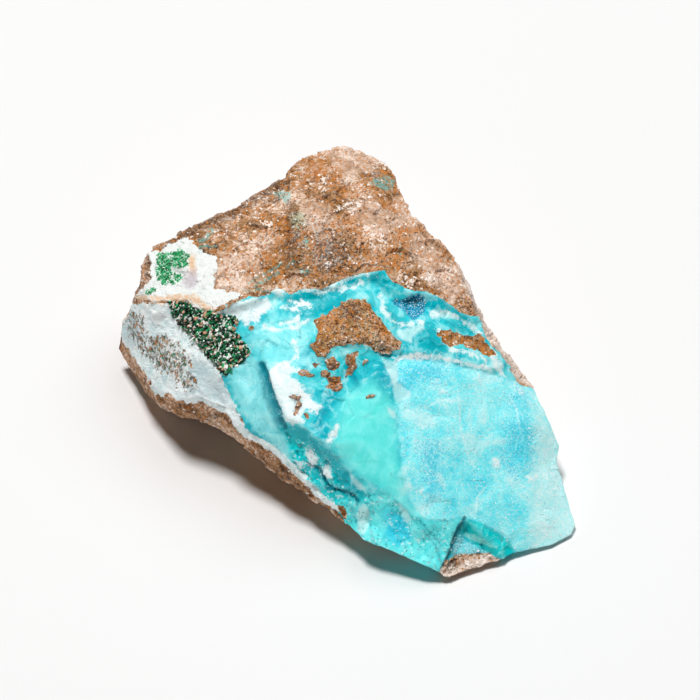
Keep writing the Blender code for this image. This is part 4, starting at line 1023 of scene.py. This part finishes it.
def quartz_rock():
    colours = bpy.context.scene.specimen_colours
    material, tree, surface, place = finish_of("quartz_rock", {"Roughness": 0.6, "Specular IOR Level": 0.35})
    cloud = add(tree, "ShaderNodeTexNoise", {"Vector": place, "Scale": per(7.0), "Detail": 7.0, "Roughness": 0.7})
    wander = add(tree, "ShaderNodeTexNoise", {"Vector": place, "Scale": per(1.1), "Detail": 4.0, "Roughness": 0.7})
    cells = add(tree, "ShaderNodeTexVoronoi", {"Vector": place, "Scale": per(0.36)})
    lot = add(tree, "ShaderNodeSeparateColor", {0: cells.outputs["Color"]})
    mottled = add(tree, "ShaderNodeMath", {0: wander.outputs[0], 1: 0.45, 2: cloud.outputs[0]},
                  operation="MULTIPLY_ADD")
    grainy = add(tree, "ShaderNodeMath", {0: lot.outputs[0], 1: 0.16, 2: mottled.outputs[0]},
                 operation="MULTIPLY_ADD")
    tone = add(tree, "ShaderNodeValToRGB", {0: grainy.outputs[0]}, stops=(
        (0.6, "#583c24"), (0.7, "#90663e"), (0.78, colours.rock), (0.86, "#cca484"), (0.95, colours.rock_pale)))
    tint = painted(tree, tone.outputs[0], ROCK_TINTS, wander.outputs[0])
    # painted shade in the rock's creases and a painted highlight, with some wear, on its edges
    tint = wear_and_painted_shade(tree, tint, ("#443222", 0.65), ("#f0dccb", 0.35))
    grain = add(tree, "ShaderNodeValToRGB", {0: grainy.outputs[0]}, stops=(
        (0.62, "#48301c"), (0.73, "#9c6c38"), (0.82, "#caa284"), (0.92, "#f6e8dc")))
    mixed = add(tree, "ShaderNodeMix", {0: 0.34, 6: tint, 7: grain.outputs[0]}, data_type="RGBA").outputs[2]
    veins = add(tree, "ShaderNodeTexNoise", {"Vector": place, "Scale": per(4.5), "Detail": 5.0, "Roughness": 0.7})
    along = lines_at(tree, veins.outputs[0], 0.5, 0.045, 0.42, 0.1)
    chances = {}
    small = add(tree, "ShaderNodeTexVoronoi", {"Vector": place, "Scale": per(0.25)})
    lots = add(tree, "ShaderNodeSeparateColor", {0: small.outputs["Color"]})
    for speck, (chance, zones) in ROCK_SPECKS.items():
        chance = along if chance is None else chance
        for zone, share in zones:
            cover = zone_cover(tree, zone, wander.outputs[0], 2.0, 0.8)
            chance = add(tree, "ShaderNodeMath", {0: cover, 1: share, 2: chance}, operation="MULTIPLY_ADD").outputs[0]
        chances[speck] = chance
    mixed = speckled(tree, mixed, lot.outputs[1], chances["rust"], "#c9781f", 0.66)
    # white specks: milky quartz grains, some of them painted glints
    mixed = speckled(tree, mixed, lot.outputs[2], chances["white"], "#fdf3ea", 0.8)
    mixed = speckled(tree, mixed, lots.outputs[0], chances["dark"], "#3c2820", 0.7)
    tree.links.new(mixed, surface.inputs["Base Color"])
    fine = add(tree, "ShaderNodeTexNoise", {"Vector": place, "Scale": per(0.3), "Detail": 3.0})
    carved(tree, surface, ((cells.outputs["Distance"], -0.05), (fine.outputs[0], 0.08), (lot.outputs[1], 0.03)))
    return material


# Chrysocolla: glassy blue-green copper silicate, clouded and veined by milky quartz, with a wax-like to glassy shine;
# on the slab it shows through a skin of quartz points as fine as sugar.
SEAM_TINTS = (
    ("deep", "#00b4c0", 1.4, 0.6, 0.95),
    ("strip", "#90e6ea", 0.5, 0.5, 0.9),
    ("strip_shade", "#009cae", 1.0, 0.7, 0.9),
    ("pale_left", "#8eeef2", 2.0, 1.2, 0.85),
    ("shelf", "#74f2ec", 2.2, 1.8, 0.9),
    ("facet", "#00e2e6", 0.8, 0.6, 0.9),
    # the lower front facet, painted paler to stand in for the light that it catches
    ("front_bright", "#7af2f2", 1.8, 1.2, 0.75),
    ("front_cyan", "#00ccea", 2.2, 1.0, 0.7),
    ("front_lines", "#0b94a2", 1.5, 0.35, 0.7),
    # the band along the top of the front facet: painted shade, with the deeper colour there
    ("facet_dark", "#00b6be", 1.0, 0.5, 0.75),
    ("slab", "cloudy", 0.8, 0.5, 0.92),
    ("blotches", "#30d4ea", 4.0, 2.4, 0.75),
    ("slab_lines", "#effeff", 0.7, 0.2, 0.6),
    # pale translucent quartz at the slab's thin edge, painted paler still for the light that shines through it
    ("pale_rim", "#ddfffc", 1.2, 1.6, 0.8),
    ("notch_green", "#00cfd0", 0.4, 0.25, 0.95),
    ("notch_druse", "#7ee0ea", 0.5, 0.3, 0.8),
    ("notch_lens", "#9aeee6", 0.3, 0.2, 0.7),
    ("shelf_shade", "#00b4c0", 0.6, 0.5, 0.92),
    # dark teal in the creases: painted shade, with the deeper colour of the chrysocolla there
    ("crease", "#007888", 0.5, 0.3, 0.9),
    ("vug", "#0093bf", 0.9, 0.3, 0.9),
    ("pale_lens", "#cdf5f4", 0.9, 0.3, 0.7),
    ("streaks", "#f2fdfc", 3.4, 0.3, 0.8),
    ("white", "#eef8f8", 3.6, 0.3, 0.92),
)


def chrysocolla():
    colours = bpy.context.scene.specimen_colours
    material, tree, surface, place = finish_of("chrysocolla", {
        "IOR": 1.46, "Specular IOR Level": 0.15, "Subsurface Weight": 0.25, "Subsurface Radius": (0.4, 1.0, 1.0),
        "Subsurface Scale": 1.2 * MM})
    wander = add(tree, "ShaderNodeTexNoise", {"Vector": place, "Scale": per(1.2), "Detail": 6.0, "Roughness": 0.75})
    swirl = add(tree, "ShaderNodeTexNoise", {"Vector": place, "Scale": per(7.0), "Detail": 5.0, "Roughness": 0.55,
                                             "Distortion": 1.0})
    tone = add(tree, "ShaderNodeValToRGB", {0: swirl.outputs[0]}, stops=(
        (0.32, "#00a6b8"), (0.42, colours.seam_deep), (0.51, colours.seam), (0.6, "#66dee4"),
        (0.68, colours.seam_pale), (0.78, "#dcf6f5")))
    milk = add(tree, "ShaderNodeTexNoise", {"Vector": place, "Scale": per(2.2), "Detail": 6.0, "Roughness": 0.6,
                                            "Distortion": 0.6})
    haze = add(tree, "ShaderNodeMapRange", {"Value": milk.outputs[0], "From Min": 0.5, "From Max": 0.7, "To Max": 0.5})
    mixed = add(tree, "ShaderNodeMix", {0: haze.outputs[0], 6: tone.outputs[0], 7: linear("#c9f6f5")},
                data_type="RGBA").outputs[2]
    cloudy = add(tree, "ShaderNodeValToRGB", {0: swirl.outputs[0]}, stops=(
        (0.36, "#58e8f6"), (0.46, "#76f2fb"), (0.54, "#9cfaff"), (0.62, "#c6fcff")))
    tints = [(name, cloudy.outputs[0] if tint == "cloudy" else tint, *rest) for name, tint, *rest in SEAM_TINTS]
    mixed = painted(tree, mixed, tints, wander.outputs[0])
    mottle = add(tree, "ShaderNodeValToRGB", {0: milk.outputs[0]}, stops=(
        (0.36, "#404040"), (0.5, "#bcbcbc"), (0.64, "#ffffff")))
    mixed = add(tree, "ShaderNodeMix", {0: 0.36, 6: mixed, 7: mottle.outputs[0]}, data_type="RGBA",
                blend_type="SOFT_LIGHT").outputs[2]
    # painted shade in the seam's creases and a painted highlight, with some wear, on its edges
    mixed = wear_and_painted_shade(tree, mixed, ("#007f8e", 0.45), ("#d8f8f8", 0.18))
    sugar = zone_cover(tree, "slab", wander.outputs[0], 0.8, 0.5)
    shelf = zone_cover(tree, "shelf", wander.outputs[0], 1.0, 1.0)
    calm = add(tree, "ShaderNodeMath", {0: sugar, 1: shelf}, operation="MAXIMUM")
    lined = add(tree, "ShaderNodeMath", {0: 1.0, 1: calm.outputs[0]}, operation="SUBTRACT")
    for bands, level, width, tint in ((swirl, 0.47, 0.006, "#008596"), (milk, 0.56, 0.008, "#e6fdfd")):
        line = lines_at(tree, bands.outputs[0], level, width, 0.5, 0.0)
        line = add(tree, "ShaderNodeMath", {0: line, 1: lined.outputs[0]}, operation="MULTIPLY").outputs[0]
        mixed = add(tree, "ShaderNodeMix", {0: line, 6: mixed, 7: linear(tint)}, data_type="RGBA").outputs[2]
    chips = add(tree, "ShaderNodeTexVoronoi", {"Vector": place, "Scale": per(0.34)})
    lots = add(tree, "ShaderNodeSeparateColor", {0: chips.outputs["Color"]})
    broken = zone_cover(tree, "facet", wander.outputs[0], 4.0, 0.8)
    mixed = strewn_specks(tree, mixed, lots, broken, ((0.07, "#e8fbfb"), (0.05, "#008c9a")), 0.5)
    points = add(tree, "ShaderNodeTexVoronoi", {"Vector": place, "Scale": per(0.26)})
    lot = add(tree, "ShaderNodeSeparateColor", {0: points.outputs["Color"]})
    # tones of the quartz points on the slab; the whitest cells are painted glints where the points catch the light
    shade = add(tree, "ShaderNodeValToRGB", {0: lot.outputs[0]}, stops=(
        (0.0, "#4fe2f4"), (0.35, "#8ef4fc"), (0.8, "#ccfdfe"), (0.92, "#ffffff")))
    share = add(tree, "ShaderNodeMath", {0: sugar, 1: 0.28}, operation="MULTIPLY").outputs[0]
    mixed = add(tree, "ShaderNodeMix", {0: share, 6: mixed, 7: shade.outputs[0]}, data_type="RGBA").outputs[2]
    blotch = zone_cover(tree, "blotches", swirl.outputs[0], 8.0, 1.8)
    blotch = add(tree, "ShaderNodeMath", {0: blotch, 1: 0.5}, operation="MULTIPLY").outputs[0]
    mixed = speckled(tree, mixed, lot.outputs[2], blotch, "#10cbe4", 0.5)
    tree.links.new(mixed, surface.inputs["Base Color"])
    rough = add(tree, "ShaderNodeMapRange", {"Value": sugar, "To Min": 0.36, "To Max": 0.5})
    tree.links.new(rough.outputs[0], surface.inputs["Roughness"])
    sugary = add(tree, "ShaderNodeMath", {0: lot.outputs[1], 1: sugar}, operation="MULTIPLY")
    carved(tree, surface, ((sugary.outputs[0], 0.05), (swirl.outputs[0], 0.08), (milk.outputs[0], 0.1)))
    return material


# Chalky crust: powdery weathered copper and quartz, bluish white, quite matt, with specks of the rock below.
CRUST_TINTS = (
    ("speckled", "#b9b4b2", 4.0, 0.8, 0.5),
    ("crust_shade", "#aac0c6", 3.0, 1.0, 0.65),
    ("white_crust", "#eff2ef", 1.0, 0.4, 0.95),
    ("cream", "#e9b988", 3.0, 0.4, 0.8),
    ("lilac", "#c6bcc3", 1.2, 0.5, 0.8),
    ("hem", "#dff2f1", 0.6, 0.3, 0.6),
    ("hem_cracks", "#4f9fa0", 0.5, 0.25, 0.7),
    ("bright_green", "#2fae6e", 1.8, 0.25, 0.95),
)


def chalky_crust():
    colours = bpy.context.scene.specimen_colours
    material, tree, surface, place = finish_of("chalky_crust", {"Roughness": 0.85, "Specular IOR Level": 0.25})
    wander = add(tree, "ShaderNodeTexNoise", {"Vector": place, "Scale": per(0.9), "Detail": 5.0, "Roughness": 0.7})
    cloud = add(tree, "ShaderNodeTexNoise", {"Vector": place, "Scale": per(3.0), "Detail": 4.0, "Roughness": 0.65})
    tone = add(tree, "ShaderNodeValToRGB", {0: cloud.outputs[0]}, stops=(
        (0.3, "#c4dfe4"), (0.46, colours.crust), (0.65, "#f8fcfc")))
    mixed = painted(tree, tone.outputs[0], CRUST_TINTS, wander.outputs[0])
    cream = add(tree, "ShaderNodeMapRange", {"Value": wander.outputs[0], "From Min": 0.62, "From Max": 0.75,
                                             "To Max": 0.35}).outputs[0]
    mixed = add(tree, "ShaderNodeMix", {0: cream, 6: mixed, 7: linear("#dcb990")}, data_type="RGBA").outputs[2]
    specks = zone_cover(tree, "speckled", wander.outputs[0], 6.0, 0.5)
    spot = add(tree, "ShaderNodeTexVoronoi", {"Vector": place, "Scale": per(0.3)})
    lot = add(tree, "ShaderNodeSeparateColor", {0: spot.outputs["Color"]})
    bare = add(tree, "ShaderNodeMapRange", {"Value": wander.outputs[0], "From Min": 0.49, "From Max": 0.56})
    bare = add(tree, "ShaderNodeMath", {0: bare.outputs[0], 1: specks}, operation="MULTIPLY")
    patch = add(tree, "ShaderNodeValToRGB", {0: cloud.outputs[0]}, stops=(
        (0.4, "#4d3a2e"), (0.48, "#8a7464"), (0.54, "#6f6a68"), (0.62, "#5c8070")))
    bare = add(tree, "ShaderNodeMath", {0: bare.outputs[0], 1: 0.75}, operation="MULTIPLY")
    mixed = add(tree, "ShaderNodeMix", {0: bare.outputs[0], 6: mixed, 7: patch.outputs[0]}, data_type="RGBA").outputs[2]
    flakes = add(tree, "ShaderNodeTexVoronoi", {"Vector": place, "Scale": per(0.6)})
    kinds = add(tree, "ShaderNodeSeparateColor", {0: flakes.outputs["Color"]})
    mixed = strewn_specks(tree, mixed, kinds, bare.outputs[0],
                          ((0.32, "#4a3b31"), (0.24, "#b87430"), (0.2, "#3c7354")), 0.8)
    mixed = strewn_specks(tree, mixed, lot, specks, ((0.16, "#453a34"), (0.12, "#c47c30"), (0.09, "#3f7a58")), 0.8)
    # painted shade in the crust's creases and a painted highlight, with some wear, on its edges
    mixed = wear_and_painted_shade(tree, mixed, ("#93a5a2", 0.35), ("#ffffff", 0.5))
    tree.links.new(mixed, surface.inputs["Base Color"])
    carved(tree, surface, ((wander.outputs[0], 0.3), (cloud.outputs[0], 0.4), (spot.outputs["Distance"], 0.05)))
    return material


# Malachite: copper carbonate in a crust of tiny crystals, from bottle green to nearly black between them.
def malachite_ground():
    colours = bpy.context.scene.specimen_colours
    material, tree, surface, place = finish_of("malachite_ground", {"Roughness": 0.4})
    wander = add(tree, "ShaderNodeTexNoise", {"Vector": place, "Scale": per(0.8), "Detail": 4.0, "Roughness": 0.7})
    tone = add(tree, "ShaderNodeValToRGB", {0: wander.outputs[0]}, stops=(
        (0.35, "#07251b"), (0.5, colours.malachite), (0.68, "#2c9160")))
    tree.links.new(tone.outputs[0], surface.inputs["Base Color"])
    carved(tree, surface, ((wander.outputs[0], 0.4),))
    return material


def crystal_finish(name, stops, roughness):
    """A finish for strewn crystals, whose tint attribute picks one of the colours."""
    material, tree, surface, _ = finish_of(name, {"Roughness": roughness})
    tint = add(tree, "ShaderNodeAttribute", attribute_name="tint")
    shade = add(tree, "ShaderNodeValToRGB", {0: tint.outputs["Fac"]}, stops=stops)
    shade.color_ramp.interpolation = "CONSTANT"
    tree.links.new(shade.outputs[0], surface.inputs["Base Color"])
    return material


# Malachite crystals: bottle green to black, glassy, dusted here and there with white and rusty grains.
def malachite_crystals():
    colours = bpy.context.scene.specimen_colours
    return crystal_finish("malachite_crystals", (
        (0.0, "#06271c"), (0.2, colours.malachite), (0.38, "#1b8350"), (0.5, "#34ab70"), (0.58, "#0a1712"),
        (0.71, "#e0eae0"), (0.85, "#d9a88a"), (0.92, "#fbfaf6")), 0.25)


# Velvety malachite: hair-fine bright green needles in tufts.
def green_tufts():
    colours = bpy.context.scene.specimen_colours
    return crystal_finish("green_tufts", (
        (0.0, "#128a4c"), (0.25, colours.bright_green), (0.5, "#4fc78b"), (0.66, "#a7e3c3"), (0.8, "#f4faf6")), 0.5)


# Grains of the rock: clear, milky and iron-stained quartz.
def rock_grains():
    colours = bpy.context.scene.specimen_colours
    return crystal_finish("rock_grains", (
        (0.0, "#4c3828"), (0.16, "#846648"), (0.4, "#aa8862"), (0.6, colours.rust), (0.78, "#c8a78c"),
        (0.93, "#e6cdb9")), 0.5)


# Quartz points over blue-green stone: milky white to clear, glassy.
def quartz_points():
    return crystal_finish("quartz_points", ((0.0, "#a9e6ee"), (0.5, "#d3f3f6"), (0.8, "#fbfefe")), 0.2)


# ---------------------------------------------------------------- the stage


def aimed(obj, start, target):
    obj.location = start
    obj.rotation_euler = (Vector(target) - Vector(start)).to_track_quat("-Z", "Y").to_euler()
    bpy.context.collection.objects.link(obj)


class SPECIMEN_OT_stage(bpy.types.Operator):
    """Sets the floor, the lights and the camera"""

    bl_idname = "specimen.stage"
    bl_label = "Stage"

    def execute(self, context):
        sizes = context.scene.specimen_stage
        bpy.ops.object.select_all(action="DESELECT")
        bpy.ops.mesh.primitive_plane_add(size=sizes.floor, location=(0, 0, 0))
        floor = context.object
        floor.name = "floor"
        floor.data.materials.append(finish_of("paper", {
            "Base Color": linear(FLOOR_COLOUR), "Roughness": 0.9, "Specular IOR Level": 0.0})[0])

        spans = {  # width, height and distance
            "softbox": (sizes.softbox, sizes.softbox, sizes.softbox_height),
            "ceiling": (sizes.ceiling, sizes.ceiling, sizes.softbox_height),
            "card": (CARD_SIZE[0] * MM, CARD_SIZE[1] * MM, sizes.card_distance),
        }
        for name, (shape, watts, tint, start) in LAMPS.items():
            lamp = bpy.data.lights.new(name, "AREA")
            lamp.shape, lamp.energy, lamp.color = shape, watts, linear(tint)[:3]
            lamp.size, lamp.size_y, distance = spans[name]
            held = bpy.data.objects.new(name, lamp)
            held.visible_camera = False
            aimed(held, Vector(start).normalized() * distance, (0, 0, 0))
        world = bpy.data.worlds.new("room")
        context.scene.world = world
        world.use_nodes = True
        background = world.node_tree.nodes["Background"].inputs
        background[0].default_value, background[1].default_value = linear(FILL_COLOUR), FILL_STRENGTH

        lens = bpy.data.cameras.new("camera")
        lens.lens, lens.sensor_width = CAMERA_LENS, CAMERA_SENSOR
        distance = FRAME_WIDTH * MM * CAMERA_LENS / CAMERA_SENSOR
        lens.clip_start, lens.clip_end = 0.1, 2 * distance
        camera = bpy.data.objects.new("camera", lens)
        points = co_of(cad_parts[SPECIMEN].data)
        middle = Vector((points - centred(points))[0]) * MM
        aimed(camera, middle + TO_VIEWER * distance, middle)
        context.scene.camera = camera
        context.scene.view_settings.view_transform = "Standard"
        return {"FINISHED"}


class SPECIMEN_PT_panel(bpy.types.Panel):
    bl_idname = "SPECIMEN_PT_panel"
    bl_label = "Chrysocolla specimen"
    bl_space_type = "VIEW_3D"
    bl_region_type = "UI"
    bl_category = "Specimen"

    def draw(self, context):
        for settings in (context.scene.specimen_sizes, context.scene.specimen_colours, context.scene.specimen_stage):
            for name in settings.bl_rna.properties.keys():
                if name not in ("rna_type", "name"):
                    self.layout.prop(settings, name)
        for operator in OPERATORS:
            self.layout.operator(operator.bl_idname)


SETTINGS = {"specimen_sizes": SpecimenSizes, "specimen_colours": SpecimenColours, "specimen_stage": StageSizes}
OPERATORS = (SPECIMEN_OT_stage, SPECIMEN_OT_stone, SPECIMEN_OT_malachite, SPECIMEN_OT_grains, SPECIMEN_OT_sugar)


def register():
    for group in (*SETTINGS.values(), *OPERATORS, SPECIMEN_PT_panel):
        bpy.utils.register_class(group)
    for name, group in SETTINGS.items():
        setattr(bpy.types.Scene, name, PointerProperty(type=group))


def unregister():
    for name in SETTINGS:
        delattr(bpy.types.Scene, name)
    for group in (SPECIMEN_PT_panel, *reversed(OPERATORS), *SETTINGS.values()):
        bpy.utils.unregister_class(group)


def main():
    register()
    bpy.ops.specimen.stage()
    bpy.ops.specimen.stone()
    bpy.ops.specimen.malachite()
    bpy.ops.specimen.grains()
    bpy.ops.specimen.sugar()


if __name__ == "__main__":
    main()
